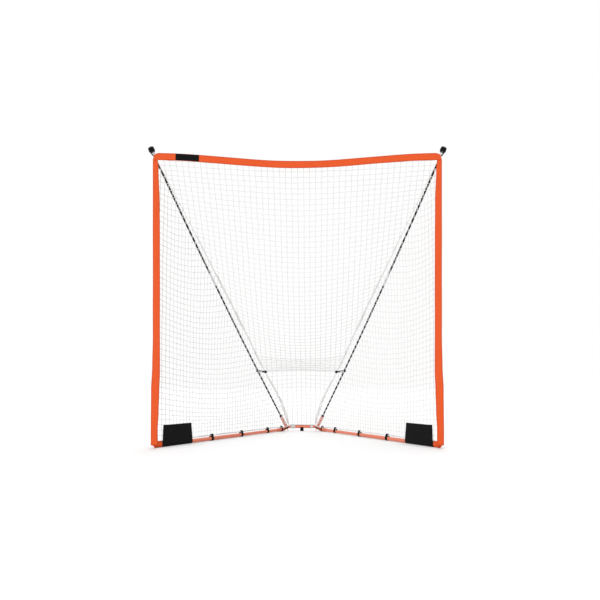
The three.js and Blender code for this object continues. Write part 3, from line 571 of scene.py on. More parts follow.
liner_radius = socket_radius - socket_wall - fit_gap
liner_foot = 0.026
liner_floor = rod_setback - fit_gap
liner_mouth = socket_length + fit_gap
liner_flange = 0.003
liner_ease = 0.001
liner = turned([(0, liner_foot), (liner_radius, liner_foot), (liner_radius, liner_mouth),
                (socket_radius, liner_mouth), (socket_radius, liner_mouth + liner_flange * 0.7),
                (socket_radius - liner_ease, liner_mouth + liner_flange),
                (rod_bore, liner_mouth + liner_flange), (rod_bore, liner_floor), (0, liner_floor)],
               socket_base, socket_up)
add_pair("socket_collar", liner, plastic, "frame_and_net", ["socket_liner"])


def around(angle, first, second):
    """A direction turned from the first one given towards the second, square to it."""
    return math.cos(angle) * first + math.sin(angle) * second


weld_radius = 0.0028
weld_steps = 40
weld_highest = 0.06
weld_lowest = -0.02
weld_search = 0.0005


def off_hub(place):
    """How far a place is from the hub tube's axis."""
    near = []
    for start, end in zip(hub_line, hub_line[1:]):
        run = end - start
        share = min(1, max(0, (place - start).dot(run) / run.length_squared))
        near.append((start + run * share - place).length)
    return min(near)


weld_line = []
socket_side = socket_up.cross(Vector((0, 1, 0))).normalized()
socket_back = socket_up.cross(socket_side)
for step in range(weld_steps):
    out = around(math.tau * step / weld_steps, socket_side, socket_back)
    edge = socket_base + socket_radius * out
    lift = weld_highest
    while lift > weld_lowest and off_hub(edge + lift * socket_up) > hub_radius:
        lift -= weld_search
    weld_line.append(edge + lift * socket_up)
add_pair("socket_weld", cords([weld_line], weld_radius, 3, closed=True), paint, "frame_and_net")

# Rod tips: a black rubber cap on each rod's upper end, over a white plastic collar. Black elastic
# is knotted round the collar under the cap and runs down to the corner of the band.
cap_radius = 0.020
cap_skirt = -0.014
cap_lip = 0.004
cap_step = 0.0012
cap_top = 0.013
cap_round = 0.010
rim_ease = 0.001
cap_crown = cap_radius - cap_step
cap_profile = [(rod_bore, cap_skirt), (cap_radius - rim_ease, cap_skirt),
               (cap_radius, cap_skirt + rim_ease), (cap_radius, cap_skirt + cap_lip),
               (cap_crown, cap_skirt + cap_lip + cap_step)]
for step in range(9):
    angle = math.pi / 2 * step / 8
    cap_profile.append((cap_crown - cap_round * (1 - math.cos(angle)),
                        cap_top - cap_round * (1 - math.sin(angle))))
cap_profile += [(0, cap_top), (0, fit_gap), (rod_bore, fit_gap)]
cap = turned(cap_profile, rod_tip, -down_rod(0))
add_pair("tip_cap", cap, rubber, "cap", ["rod_cap"])

collar_radius = 0.012
collar_length = 0.028
collar_top = cap_skirt - fit_gap
collar_bottom = collar_top - collar_length
white_plastic = Finish("white_plastic", "white_cord", {"Base Color": grey(0.8)})
white_plastic.paint("Roughness", 0.45 + white_plastic.noise(white_plastic.place(), 200.0) * 0.1)
collar = turned([(rod_bore, collar_bottom), (collar_radius - rim_ease, collar_bottom),
                 (collar_radius, collar_bottom + rim_ease), (collar_radius, collar_top - rim_ease),
                 (collar_radius - rim_ease, collar_top), (rod_bore, collar_top)],
                rod_tip, -down_rod(0))
add_pair("tip_collar", collar, white_plastic, "frame_and_net", ["tip_sleeve"])

elastic = Finish("black_elastic", "black_fabric", {"Base Color": grey(0.005), "Roughness": 0.85,
                                                   "Specular IOR Level": 0.12})
braid_run, braid_round, _ = elastic.axes(elastic.place("UV"))
braid_turn = braid_round * (4 * math.tau)
elastic.bump((braid_run * 380.0 + braid_turn).sine() * (braid_run * 380.0 - braid_turn).sine(),
             0.0003, 0.6)


def through(points, steps):
    """A smooth line through the points, as a cord takes that is held at each of them."""
    ends = [2 * points[0] - points[1], *points, 2 * points[-1] - points[-2]]
    line = [points[0].copy()]
    for i in range(len(points) - 1):
        a, b, c, d = ends[i : i + 4]
        before, here, after = [(q - p).length_squared**0.25 for p, q in ((a, b), (b, c), (c, d))]
        leave = ((b - a) / before - (c - a) / (before + here) + (c - b) / here) * here
        arrive = ((c - b) / here - (d - b) / (here + after) + (d - c) / after) * here
        for step in range(1, steps + 1):
            t = step / steps
            line.append(b * (2 * t**3 - 3 * t**2 + 1) + leave * (t**3 - 2 * t**2 + t)
                        + c * (3 * t**2 - 2 * t**3) + arrive * (t**3 - t**2))
    return line


def joined(*meshes, places=(Matrix.Identity(4),)):
    """One smooth mesh that holds a copy of all those given at each place."""
    whole = bmesh.new()
    for place in places:
        for mesh in meshes:
            mesh.transform(place)
            whole.from_mesh(mesh)
            mesh.transform(place.inverted())
    made = mesh_of(whole, "joined")
    made.shade_smooth()
    return made


def knot_mesh(radius, subdivisions):
    shape = bmesh.new()
    bmesh.ops.create_icosphere(shape, subdivisions=subdivisions, radius=radius)
    return mesh_of(shape, "knot")


corner_cord_radius = 0.002
corner_cord_bulk = 1.4
corner_knot_radius = 0.0035
ring_middle = on_rod((corner_cord_radius * 2 + fit_gap - collar_top) / rod_length)
ring_out = (Vector((1, 0, 0)) - down_rod(0) * down_rod(0).x).normalized()
ring_side = down_rod(0).cross(ring_out)
ring_radius = collar_radius + fit_gap + corner_cord_radius
ring_steps = 32
ring_line = [ring_middle + ring_radius * around(math.tau * step / ring_steps, ring_out, ring_side)
             for step in range(ring_steps)]
corner_cord_start = ring_line[0]
corner_cord_end = Vector((0.896, front_plane + 0.0038, 1.824))
corner_cord_over = corner_cord_start.lerp(corner_cord_end, 0.5) + Vector((0.001, -0.002, 0))
corner_cord_line = through([corner_cord_start, corner_cord_over, corner_cord_end], 10)
corner_knot = knot_mesh(corner_knot_radius, 2)
corner_knot.transform(Matrix.Translation(ring_line[ring_steps // 2]))
add_pair("corner_tie", joined(cords([corner_cord_line], corner_cord_radius * corner_cord_bulk, 3),
                              cords([ring_line], corner_cord_radius, 3, closed=True), corner_knot),
         elastic, "frame_and_net", ["corner_cord"])

# Top band: orange webbing folded over the net's upper edge and stitched along both hems, from
# corner to corner of the mouth. It hangs in a shallow sag, and its corners are rounded.
band_width = 0.044
band_thickness = 0.003
band_half = 0.902
band_top = 1.844
band_sag = 0.050
band_corner = 0.040
band_corner_least = 0.002
band_ripple = 0.0012
stitch_width = 0.0012
rib_pitch = 0.0022
thread_pitch = 0.0016


def band_dip(out):
    """How far the band sags below its ends at a distance from its middle."""
    return band_sag / 2 * (1 + math.cos(math.pi * min(1.0, abs(out) / band_half)))


def webbing_finish(name, slot, colour, wear_stitch_and_shade_colour, width, hem):
    """Woven tape: cross ribs all along it, a darker stitch line at each hem, uneven wear in its
    tone, and painted shade along each folded edge.
    """
    finish = Finish(name, slot, {"Roughness": 0.85, "Specular IOR Level": 0.12})
    along, across, _ = finish.axes(finish.place("UV"))
    ribs = (along * (math.tau / rib_pitch)).sine() + (across * (math.tau / thread_pitch)).sine()
    lines = (across.within(hem, hem + stitch_width)
             + across.within(width - hem - stitch_width, width - hem))
    finish.bump(ribs * 0.5 - lines * 1.5, 0.00035, 0.7)
    # Painted shade: the strip along each folded edge is darkened towards the second colour, as if
    # shaded by the fold.
    painted_fold_shade = across.within(0, hem * 0.8) + across.within(width - hem * 0.8, width)
    wear = finish.noise(finish.place(), 14.0, 4.0)
    tint = (wear - 0.5) * 0.25 + lines * 0.35 + painted_fold_shade * 0.30
    finish.paint("Base Color", finish.nodes.mixed(tint, colour, wear_stitch_and_shade_colour))
    return finish


band_hem = 0.0045
# The second colour is the darker one, used for the wear, the stitch lines and the painted shade
# along the folded edges.
webbing = webbing_finish("orange_webbing", "orange_webbing", (0.83, 0.112, 0.028, 1),
                         (0.42, 0.040, 0.014, 1), band_width, band_hem)


def top_band_place(u, v):
    out = band_half * (2 * u - 1)
    up = band_top - band_width * (1 - v) - band_dip(out)
    inner = band_half - band_corner
    if abs(out) > inner:
        reach = min(abs(out) - inner, band_corner)
        ceiling = band_top - band_corner + math.sqrt(max(0.0, band_corner**2 - reach**2))
        lower_edge = band_top - band_width - band_dip(out)
        up = lower_edge + (max(ceiling, lower_edge + band_corner_least) - lower_edge) * v
    ripple = band_ripple * math.sin(31 * u + 2 * v) * math.sin(math.pi * u)
    return Vector((out, front_plane + ripple, up))


top_band = sheeting(240, 10, top_band_place, 2 * band_half, band_width, band_thickness * 0.8)
top_webbing = add("mouth_top_webbing", top_band, webbing, "frame_and_net", ["top_band"])

# Band label: a bare patch of black woven tape, a little narrower than the top band, sewn flat to
# the band's face near its left corner.
label_length = 0.146
label_height = 0.041
label_middle = -0.687
label_thickness = 0.0012
label_stand = 0.0009
label_face = front_plane - band_thickness / 2 - label_stand
# This cloth also gets painted shade along its folded edge, besides its wear and stitch lines.
black_cloth = webbing_finish("black_cloth", "black_fabric", grey(0.005), grey(0.002), 1.0, 0.003)


def label_place(u, v):
    out = label_middle + label_length * (u - 0.5)
    middle = band_top - band_width / 2 - band_dip(out)
    return Vector((out, label_face, middle + label_height * (v - 0.5)))


label = sheeting(30, 8, label_place, label_length, label_height, label_thickness)
add("band_patch", label, black_cloth, "frame_and_net", ["band_label"])

# Side bands: the same webbing down each post line of the mouth, over the net's front edge. Each
# leans outward near the ground, and its foot hangs before the arm's front end as a square flap.
side_band_foot = 0.0203
side_band_low = 0.0413
side_band_high = 1.7994
side_band_ripple = 0.0015
outer_edge = [(0, 0.30), (0.04, 0.30), (0.18, 0.25), (0.27, 0.09), (0.38, 0), (1, 0)]
inner_edge = [(0, 0.32), (0.04, 0.32), (0.11, 0.18), (0.18, 0.09), (0.25, 0), (0.72, 0),
              (0.85, 0.05), (0.97, 0.2), (1, 0.3)]


def smooth(t):
    """From 0 to 1 without a corner, and level beyond them."""
    t = min(1.0, max(0.0, t))
    return t * t * (3 - 2 * t)


def edge_share(edge, up):
    """Where an edge lies at a share of the band's height, eased between its listed points."""
    for (low, start), (high, end) in zip(edge, edge[1:]):
        if up <= high:
            return start + (end - start) * smooth((up - low) / (high - low))
    return edge[-1][1]


def side_band_edges(up):
    """The band's inner and outer edges at a height."""
    share = max(0.0, (up - side_band_low) / (side_band_high - side_band_low))
    inner = band_half - band_width + band_width * edge_share(inner_edge, share)
    return inner, band_half + band_width * edge_share(outer_edge, share)


def side_band_place(u, v):
    up = side_band_foot + (side_band_high - side_band_foot) * u
    inner, outer = side_band_edges(up)
    ripple = side_band_ripple * math.sin(23 * u + 1.5 * v) * math.sin(math.pi * u)
    return Vector((outer + (inner - outer) * v, front_plane + ripple, up))


arm_pull_end = Vector((0.889, front_plane, 0.045))
arm_pull_reach = 0.78
arm_pull_start = arm_pull_end + arm_pull_reach * (upward + rearward)


def follow_arm(pair):
    """Bakes the pair's places into its meshes. The pair is tied to the arms' front ends, but it is
    not made to go with the arms there."""
    blend_pair(pair, arm_pull_start, arm_pull_end)


side_band_length = side_band_high - side_band_foot
side_band = sheeting(240, 10, side_band_place, side_band_length, band_width, band_thickness * 0.8)
side_webbing = add_pair("mouth_webbing", side_band, webbing, None, ["side_band"])
follow_arm(side_webbing)

# Band pockets: a sewn sleeve of the same webbing that slips over each arm's front end and widens
# to the band's foot ahead of it.
pocket_bore = front_tube_radius + fit_gap
pocket_thickness = 0.002
pocket_overhang = 0.0056
pocket_front = tube_setback - pocket_overhang
pocket_length = 0.062
pocket_neck = 0.008
pocket_top = 0.041 - arm_start.z
mouth_inset = 0.001
mouth_ahead = 0.0024


def arc(radius, start, turn, steps, rise=0.0):
    """Points on an arc from a start angle through a turn, whose middle is raised."""
    angles = [start + turn * step / steps for step in range(steps + 1)]
    return [Vector((radius * math.cos(angle), rise + radius * math.sin(angle))) for angle in angles]


def length_of(line):
    return sum((b - a).length for a, b in zip(line, line[1:]))


def along_line(line, share):
    """The point at a share of a broken line's length."""
    left = share * length_of(line)
    for a, b in zip(line, line[1:]):
        run = (b - a).length
        if left <= run:
            return a.lerp(b, left / run)
        left -= run
    return line[-1]


pocket_line = [Vector((-pocket_neck, pocket_top)),
               *arc(pocket_bore + pocket_thickness / 2, math.pi, math.pi, 24),
               Vector((pocket_neck, pocket_top))]
foot_inner, foot_outer = (edge + inset for edge, inset in
                          zip(side_band_edges(side_band_foot), (mouth_inset, -mouth_inset)))
mouth_line = [Vector((foot_inner, side_band_low)), Vector((foot_inner, side_band_foot)),
              Vector((foot_outer, side_band_foot)), Vector((foot_outer, side_band_low))]
mouth_share = 0.3


def pocket_place(u, v):
    out, up = along_line(pocket_line, v)
    if u >= mouth_share:
        share = (u - mouth_share) / (1 - mouth_share)
        return on_arm(pocket_front + (pocket_length - pocket_front) * share, up, out)
    mouth_out, mouth_up = along_line(mouth_line, v)
    mouth = Vector((mouth_out, front_plane + mouth_ahead, mouth_up))
    return mouth.lerp(on_arm(pocket_front, up, out), u / mouth_share)


pocket = sheeting(20, 48, pocket_place, pocket_length, length_of(pocket_line),
                  pocket_thickness * 0.9)
add_pair("webbing_pocket", pocket, webbing, "arm", ["band_pocket"])

# Corner panels: bare black cloth, wrapped under each arm near its front end and closed on both
# faces of the net, with a sewn hem all round.
panel_start = 0.085
panel_length = 0.272
panel_top = 0.140 - arm_start.z
panel_outer_top = 0.034 - arm_start.z
panel_lean = 0.022
panel_crease = 0.0006
panel_thickness = 0.0016
panel_radius = front_tube_radius + fit_gap + panel_thickness / 2
panel_off_net = 0.0023
panel_net_side = panel_off_net + panel_thickness / 2
panel_line = [Vector((-panel_net_side, panel_top))]
panel_line += [Vector((-panel_radius, 0)) + (Vector((panel_radius - panel_net_side, panel_top))
                                             * (1 - step / 12)) for step in range(1, 12)]
panel_line += arc(panel_radius, math.pi, math.pi, 24)
panel_line.append(Vector((panel_radius - (panel_radius - panel_net_side) * panel_outer_top
                          / panel_top, panel_outer_top)))


def panel_place(u, v):
    out, up = along_line(panel_line, v)
    crease = panel_crease * math.sin(19 * u + 9 * v) * max(0.0, up) / panel_top
    lean = panel_lean * (panel_top - up) / (panel_top + arm_start.z)
    return on_arm(panel_start + panel_length * u - lean * (1 - u), up, out + crease)


panel_girth = length_of(panel_line)
panel = sheeting(60, 72, panel_place, panel_length, panel_girth, panel_thickness * 0.8)
ground_panels = add_pair("ground_panel", panel, black_cloth, "arm", ["corner_panel"])


# Hem rope: white three-strand rope along the foot of the net, from one front corner over the arms
# and round the sockets to the other. The base tubes carry it.
def even_steps(line, step):
    """The line cut again into even steps of about the given length."""
    count = max(1, round(length_of(line) / step))
    return [along_line(line, n / count) for n in range(count + 1)]


def strands(line, count, radius, pitch, steps_per_turn=8):
    """Strands that wind round a line at the radius, as they are laid in a rope."""
    middle = even_steps(line, pitch / steps_per_turn)
    tangents = [(b - a).normalized() for a, b in zip(middle, middle[1:])]
    tangents.append(tangents[-1])
    across = tangents[0].orthogonal().normalized()
    made = [[] for _ in range(count)]
    for i, (point, tangent) in enumerate(zip(middle, tangents)):
        across = (across - tangent * across.dot(tangent)).normalized()
        other = tangent.cross(across)
        for n in range(count):
            angle = math.tau * (i / steps_per_turn + n / count)
            made[n].append(point + radius * around(angle, across, other))
    return made


strand_share = 0.232


def rope(line, diameter, pitch):
    """A three-strand rope of the given diameter along a line."""
    strand = diameter * strand_share
    return cords(strands(line, 3, diameter / 2 - strand, pitch), strand, 1)


white_cord = Finish("white_cord", "white_cord", {"Base Color": (0.80, 0.80, 0.795, 1),
                                                 "Roughness": 0.85, "Specular IOR Level": 0.2})
white_cord.bump(white_cord.noise(white_cord.place(), 1400.0, 3.0), 0.0003, 0.5)

hem_rise = 0.022
hem_diameter = 0.008
hem_pitch = 0.026
on_hub = (hub_radius + fit_gap + hem_diameter / 2) * math.sqrt(0.5)
hub_tie_setback = 0.047
hub_tie_place = arm_length - hub_tie_setback
hem_straight_end = hub_tie_place + 0.0055
hem_height = arm_start.z + hem_rise


def by_socket(out, ahead, up):
    """A place near the socket's foot, in socket diameters outward and forward of it."""
    across = 2 * socket_radius
    return Vector((rod_foot.x + out * across, rod_foot.y - ahead * across, up))


hem_half = [on_arm(0.0625, hem_rise), on_arm(hem_straight_end - 0.034, hem_rise),
            on_arm(hem_straight_end, hem_rise), on_arm(hem_straight_end + 0.004, hem_rise),
            by_socket(1, 1.04, hem_height), by_socket(0.25, 1.14, hem_height),
            by_socket(-0.45, 0.87, hem_height + hem_diameter),
            Vector((cross_end.x - hem_diameter, rod_foot.y - on_hub, cross_end.z + on_hub))]
hem_line = through(hem_half + [mirror @ point for point in reversed(hem_half)], 16)
add("hem_line", rope(hem_line, hem_diameter, hem_pitch), white_cord, "frame_and_net", ["hem_rope"])

# Seam cords: white rope down inside each rod and across behind the two ball ties. The four net
# panels are gathered on these. Their spare cord bunches along them and over the sockets' fronts.
seam_diameter = 0.006
seam_pitch = 0.020
seam_bulk = 0.7
cross_seam_bulk = 0.6
ball_share = 0.745
seam_inset = [0.030, 0.050, 0.058, 0.053, 0.068, 0.068, 0.050]
seam_drop = [0.012, 0.015, 0.016, 0.002, 0.012, 0.012, 0.010]
seam_points = [Vector((0.880, front_plane + 0.0048, 1.804))]
for i, (inset, drop) in enumerate(zip(seam_inset, seam_drop)):
    share = min(i + 1, 4) * ball_share / 4 + max(i - 3, 0) * (1 - ball_share) / 4
    seam_points.append(on_rod(share) - Vector((inset, 0, drop)))
seam_points.append(Vector((0.112, front_plane + 1.352, 0.0565)))
seam_line = through(seam_points, 40)
ball_seam = seam_points[4]


def on_seam(share):
    """A place on the right seam, at a share of its eight stretches."""
    place = min(max(share, 0.0), 1.0) * (len(seam_line) - 1)
    i = min(int(place), len(seam_line) - 2)
    return seam_line[i].lerp(seam_line[i + 1], place - i)


cross_middle = Vector((0, ball_seam.y + 0.040, ball_seam.z + 0.010))
panel_edge_power = 1.4


def on_cross_seam(out):
    share = min(1.0, abs(out) / ball_seam.x) ** panel_edge_power
    place = cross_middle.lerp(ball_seam, share)
    place.x = out
    return place


bunch_radius = 0.0017
upper_spread = 0.009
lower_spread = 0.013
bunch_steps = 80


def bunched(count, start, end, spread):
    """Spare cords of the net that wander along the seam, wider apart towards its foot."""
    lines = []
    for n in range(count):
        line = []
        for step in range(bunch_steps + 1):
            way = step / bunch_steps
            share = start + (end - start) * way
            wide = spread * (0.4 + 0.6 * way) * math.sin(math.pi * way) ** 0.5
            turn = math.tau * n / count + 9 * share + 1.7 * math.sin(23 * share + 2 * n)
            line.append(on_seam(share) + wide * Vector((math.cos(turn), 0.5 * math.sin(2 * turn),
                                                        math.sin(turn))))
        lines.append(line)
    return lines


strand_off_socket = 0.0025
strand_swing = 1.15
strand_foot = 0.030
strand_rise = 0.004


def before_socket(turn):
    """A strand of the net's gathered foot that zigzags up the front of the socket."""
    front = (Vector((0, -1, 0)) + socket_up * socket_up.y).normalized()
    beside = socket_up.cross(front)
    line = []
    for step in range(25):
        angle = strand_swing * math.sin(math.tau * (step / 12 + turn))
        line.append(socket_base + (strand_foot + strand_rise * step) * socket_up
                    + (socket_radius + strand_off_socket) * around(angle, front, beside))
    return line


bunch = bunched(4, 0.15, 0.5, upper_spread) + bunched(6, 0.5, 1.0, lower_spread)
bunch += [before_socket(turn) for turn in (0.0, 0.5)]
seam = joined(rope(seam_line, seam_diameter * seam_bulk, seam_pitch),
              cords(bunch, bunch_radius, 1))
add_pair("seam_line", seam, white_cord, "frame_and_net", ["net_seam"])
cross_seam_gap = 0.0053
cross_reach = ball_seam.x - cross_seam_gap
cross_line = [on_cross_seam(cross_reach * (step / 30 - 1)) for step in range(61)]
add("cross_seam_line", rope(cross_line, seam_diameter * cross_seam_bulk, seam_pitch), white_cord,
    "frame_and_net", ["cross_seam"])

# Net panels: knotted white cord in cells of about an inch and a half. The top panel sags from the
# top band to the cross seam, the back panel closes the foot, and a side panel fills each side.
net_row = 0.035
net_column = 0.038
net_cord = 0.0016
net_margin = 0.006
top_belly = 0.160
back_belly = 0.018
knot_radius = 0.0030
knot_drift = 0.0018
spare_drift = 0.003
net_slack = random.Random(7)
knot = knot_mesh(knot_radius, 1)


def loosened(place, amount=knot_drift):
    """A knot's place, drawn a little off its even one."""
    return place + Vector([net_slack.uniform(-amount, amount) for _ in range(3)])


def netting(lines, knots):
    """A net panel: its cords along the lines, and a knot at each crossing."""
    turns = [Matrix.Translation(place) @ Matrix.Rotation(net_slack.uniform(0, 3), 4, "X")
             for place in knots]
    return joined(cords(lines, net_cord, 1), joined(knot, places=turns))


def hanging(start, end, belly, power, steps=400):
    """A line from start to end that bellies square to the straight one between them."""
    chord = (end - start).normalized()
    square = Vector((0, chord.z, -chord.y))
    return [start.lerp(end, step / steps)
            + square * belly * math.sin(math.pi * (step / steps) ** power)
            for step in range(steps + 1)]


def between_seams(middle, seam_from, seam_to, depth_power, first, last, gathered=0):
    """The panel between the two seams. Rows lie at even steps down its middle line, and columns
    keep their distance from the goal's centre and end where they meet a seam. Where the panel is
    gathered towards its foot, spare rows lie close together without knots."""
    runs = [0.0]
    for a, b in zip(middle, middle[1:]):
        runs.append(runs[-1] + (b - a).length)

    def share_at(length):
        i = max(1, next((i for i, run in enumerate(runs) if run >= length), len(runs) - 1))
        part = (length - runs[i - 1]) / (runs[i] - runs[i - 1])
        return (i - 1 + part) / (len(runs) - 1)

    def seam_at(share):
        return on_seam(seam_from + (seam_to - seam_from) * share)

    def place(share, out):
        i = min(int(share * (len(middle) - 1)), len(middle) - 2)
        low = middle[i].lerp(middle[i + 1], share * (len(middle) - 1) - i)
        edge = seam_at(share)
        power = panel_edge_power + (depth_power - panel_edge_power) * share
        found = low.lerp(edge, min(1.0, abs(out) / edge.x) ** power)
        found.x = out
        return found

    count = round((runs[-1] - first - last) / net_row)
    shares = [share_at(first + (runs[-1] - first - last) * i / count) for i in range(count + 1)]
    most = int(band_half / net_column)
    grid = {}
    for i, share in enumerate(shares):
        for j in range(-most, most + 1):
            if abs(j * net_column) < seam_at(share).x - net_margin:
                grid[i, j] = loosened(place(share, j * net_column))

    def met(row, beyond, j):
        """Where a column meets the seam, between its last row and the one beyond."""
        inside, outside = shares[row], shares[beyond]
        for _ in range(20):
            half = (inside + outside) / 2
            if seam_at(half).x > abs(j) * net_column:
                inside = half
            else:
                outside = half
        found = seam_at((inside + outside) / 2)
        return found if j > 0 else mirror @ found

    lines = []
    for i, share in enumerate(shares):
        row = [grid[i, j] for j in range(-most, most + 1) if (i, j) in grid]
        lines.append([mirror @ seam_at(share), *row, seam_at(share)])
    for n in range(gathered):
        share = shares[-6] + (1 - shares[-6]) * (n + 0.5) / gathered
        reach = seam_at(share).x
        lines.append([loosened(place(share, reach * (step / 20 - 1)), spare_drift)
                      for step in range(41)])
    for j in range(-most, most + 1):
        held = [i for i in range(count + 1) if (i, j) in grid]
        column = [grid[i, j] for i in held]
        if held and held[0] > 0:
            column.insert(0, met(held[0], held[0] - 1, j))
        if held and held[-1] < count:
            column.append(met(held[-1], held[-1] + 1, j))
        lines.append(column)
    return netting([line for line in lines if len(line) > 1], list(grid.values()))


top_middle = hanging(Vector((0, front_plane + 0.0038, band_top - band_width - band_sag + 0.012)),
                     cross_middle, top_belly, 1.4)
top_net = between_seams(top_middle, 0.0, 0.5, 2.2, 0.0, net_margin, 9)
add("top_netting", top_net, white_cord, "frame_and_net", ["top_net"])

rope_top = on_hub + (hem_diameter / 2 + net_cord) * math.sqrt(0.5)
back_end = Vector((0, rod_foot.y - rope_top, cross_end.z + rope_top))
back_net = between_seams(hanging(cross_middle, back_end, back_belly, 1.0), 0.5, 1.0,
                         panel_edge_power, net_margin, 0.0)
add("back_netting", back_net, white_cord, "frame_and_net", ["back_net"])

side_bottom = hem_height + hem_diameter / 2
side_setback = 0.090
side_end = arm_length - side_setback
side_turn = 0.024
side_bulge_power = 2.5
side_droop = 0.062
droop_rise = 0.25
droop_reach = 0.8
side_column = 0.037
side_closing = 0.005
closing_run = 0.3
side_rows = 51
side_seam = []
for point in seam_line:
    from_arm = point - arm_start
    side_seam.append((from_arm.dot(rearward), point.z, from_arm.dot(outward)))


def seam_over(along):
    """Height and outward reach of the seam over a distance along the arm."""
    for (a, low, start), (b, high, end) in zip(side_seam, side_seam[1:]):
        if along <= b:
            share = (along - a) / (b - a)
            return low + (high - low) * share, start + (end - start) * share
    return side_seam[-1][1:]


def side_net_place(along, up):
    ceiling, reach = seam_over(along)
    rise = min(1.0, max(0.0, (up - side_bottom) / (ceiling - side_bottom)))
    still = side_seam[0][2] * (1 - smooth((along - side_seam[0][0]) / side_turn))
    return on_arm(along, up - arm_start.z, still + (reach - still) * rise**side_bulge_power)


def side_row(up):
    """One row: how far along the arm it meets the seam, and its height at a distance. It droops
    between the mouth and the seam, but for the rows close to the hem."""
    meet = next((along for along, height, _ in side_seam if height < up), side_end)
    depth = side_droop * min(1.0, meet / droop_reach) * smooth((up - side_bottom) / droop_rise)
    return meet, lambda along: up - depth * math.sin(math.pi * min(1.0, along / meet))


def side_netting():
    """The right side panel, whose columns close up over the first run from the front."""
    columns = [0.0]
    while columns[-1] < side_end:
        columns.append(columns[-1] + side_column - side_closing * min(1, columns[-1] / closing_run))
    rows = [side_row(side_bottom + net_row * i) for i in range(side_rows)]
    grid = {}
    for i, along in enumerate(columns):
        for j, (meet, height) in enumerate(rows):
            if along < meet - net_margin:
                place = side_net_place(along, height(along))
                grid[i, j] = loosened(place, knot_drift if i else knot_drift / 3)
    lines = []
    for i, along in enumerate(columns):
        column = [grid[i, j] for j in range(len(rows)) if (i, j) in grid]
        if column:
            lines.append(column + [side_net_place(along, seam_over(along)[0])])
    for j, (meet, height) in enumerate(rows):
        row = [grid[i, j] for i in range(len(columns)) if (i, j) in grid]
        if row:
            lines.append(row + [side_net_place(meet, height(meet))])
    return netting([line for line in lines if len(line) > 1], list(grid.values()))


side_panels = add_pair("side_netting", side_netting(), white_cord, None, ["side_net"])
follow_arm(side_panels)


# Hem ties: black webbing loops sewn round the base tube and the hem rope above it, three on each
# arm, and one round each sleeve of the hub. They stand a little slack over the rope, and the hub
# tie's rolled tail lies along the bend.
def loop_line(tube_radius, rope_radius, gap, rise):
    """A belt round the tube and the rope over it, in the arm's outward and up."""
    low = tube_radius + gap
    high = rope_radius + gap
    lean = math.asin((low - high) / rise)
    line = arc(low, math.pi - lean, math.pi + 2 * lean, 24)
    line += arc(high, lean, math.pi - 2 * lean, 12, rise)
    return line + [line[0]]


tie_slack = 0.005
tie_width = 0.024
tie_thickness = 0.002
hub_tie_width = 0.018
hub_tie_thickness = 0.001
tail_radius = 0.0045
tail_turn = Vector((0, -0.94, -0.34))
tail_from_hub = 0.0032
tail_short_of_cross = 0.004


def tie(middle, width, tube_radius, thickness):
    """A webbing loop that stands a little slack over the rope."""
    line = loop_line(tube_radius, hem_diameter / 2, fit_gap + thickness / 2, hem_rise + tie_slack)

    def place(u, v):
        out, up = along_line(line, v)
        return on_arm(middle + width * (u - 0.5), up, out)

    return sheeting(6, 60, place, width, length_of(line), thickness * 0.9)


tie_places = [(0.373, front_tube_radius), (0.604, front_tube_radius), (0.834, rear_tube_radius)]
for number, (share, radius) in enumerate(tie_places, 1):
    strap = tie(share * arm_length, tie_width, radius, tie_thickness)
    add_pair(f"hem_tie_{number}", strap, black_cloth, "arm", [f"hem_strap_{number}"])
tail_side = tail_turn * (hub_radius + tail_from_hub)
tail = [on_arm(hub_tie_place) + tail_side]
tail += [place + tail_side for place in hub_bend if place.x > cross_end.x + tail_short_of_cross]
hub_tie = joined(tie(hub_tie_place, hub_tie_width, hub_radius, hub_tie_thickness),
                 cords([tail], tail_radius, 2))
add_pair("hub_tie", hub_tie, black_cloth, "frame_and_net", ["hub_strap"])

# Lashings: white cord wound round the cross tube and the hem rope that lies on it, at both ends
# of the tube, to hold the rope there.
lashing_radius = 0.0016
lashing_pitch = 0.0034
lashing_spans = [(-0.095, -0.055), (0.070, 0.095)]


def lashing(start, end):
    """Cord wound round the cross tube and the hem rope on it, from one X to another."""
    belt = loop_line(hub_radius, hem_diameter / 2, lashing_radius + fit_gap, on_hub * math.sqrt(2))
    line = []
    for turn in range(round((end - start) / lashing_pitch)):
        for i, place in enumerate(belt[:-1]):
            out, up = place * math.sqrt(0.5)
            line.append(Vector((start + lashing_pitch * (turn + i / (len(belt) - 1)),
                                cross_end.y + out - up, cross_end.z + out + up)))
    return line


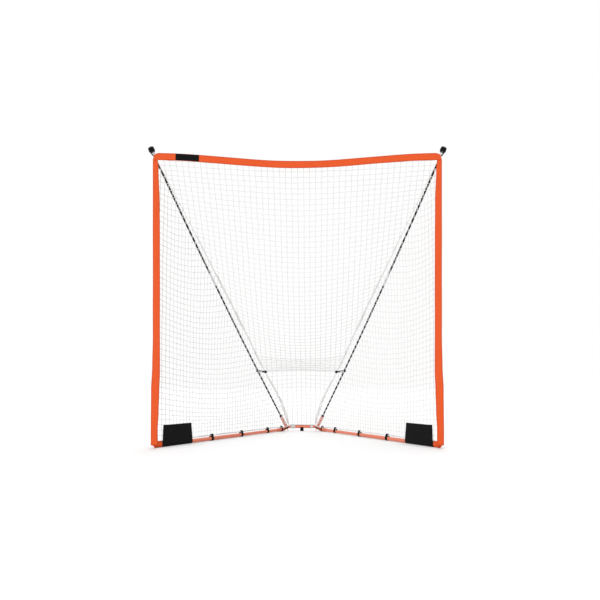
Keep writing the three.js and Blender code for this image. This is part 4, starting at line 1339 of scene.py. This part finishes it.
lashings = cords([lashing(start, end) for start, end in lashing_spans], lashing_radius, 2)
add("net_lashing", lashings, white_cord, "frame_and_net")

# Ball ties: a loop of black elastic round each rod, whose two ends are knotted in a hollow black
# plastic ball on the inside of the net. It holds the seam out to the rod.
ball_radius = 0.0112
ball_place = ball_seam + Vector((-0.009, -0.017, -0.005))
rod_at_ball = on_rod(ball_share)
to_ball = (ball_place - rod_at_ball).normalized()
aside = down_rod(ball_share).cross(to_ball).normalized()
elastic_radius = 0.0032
elastic_apart = 0.0040
elastic_bend = 0.020
elastic_slack = 0.001
elastic_from_rod = 0.015
ball_wall_gap = 0.0005
ball_hole = 0.0028
ball_hole_inside = 0.0026
grip = rod_radius + elastic_radius + elastic_slack
waist = grip * 0.707


def at_tie(origin, forward, sideways):
    return origin + to_ball * forward + aside * sideways


tie_end = -ball_radius - ball_wall_gap
tie_points = [at_tie(ball_place, tie_end, elastic_apart), at_tie(rod_at_ball, elastic_bend, waist)]
for step in range(5):
    angle = math.pi * (step / 4 - 0.5)
    tie_points.append(at_tie(rod_at_ball, -grip * math.cos(angle), -grip * math.sin(angle)))
tie_points += [at_tie(rod_at_ball, elastic_bend, -waist),
               at_tie(ball_place, tie_end, -elastic_apart)]
elastic_ties = add_pair("ball_elastic", cords([through(tie_points, 10)], elastic_radius, 3),
                        elastic, None, ["bungee_cord"])
blend_pair(elastic_ties, at_tie(rod_at_ball, elastic_from_rod, 0),
           at_tie(ball_place, tie_end, 0))

ball_profile = [(ball_hole, ball_radius * 0.93)]
for step in range(2, 15):
    angle = math.pi * step / 16
    ball_profile.append((ball_radius * math.sin(angle), ball_radius * math.cos(angle)))
ball_profile += [(elastic_radius, -ball_radius * 0.93), (ball_hole, -ball_radius * 0.7),
                 (0.0, -ball_radius * 0.68), (0.0, ball_radius * 0.7),
                 (ball_hole_inside, ball_radius * 0.72)]
tie_ball = turned(ball_profile, ball_place, to_ball, 32)
add_pair("tie_ball", tie_ball, plastic, "ball", ["bungee_ball"])
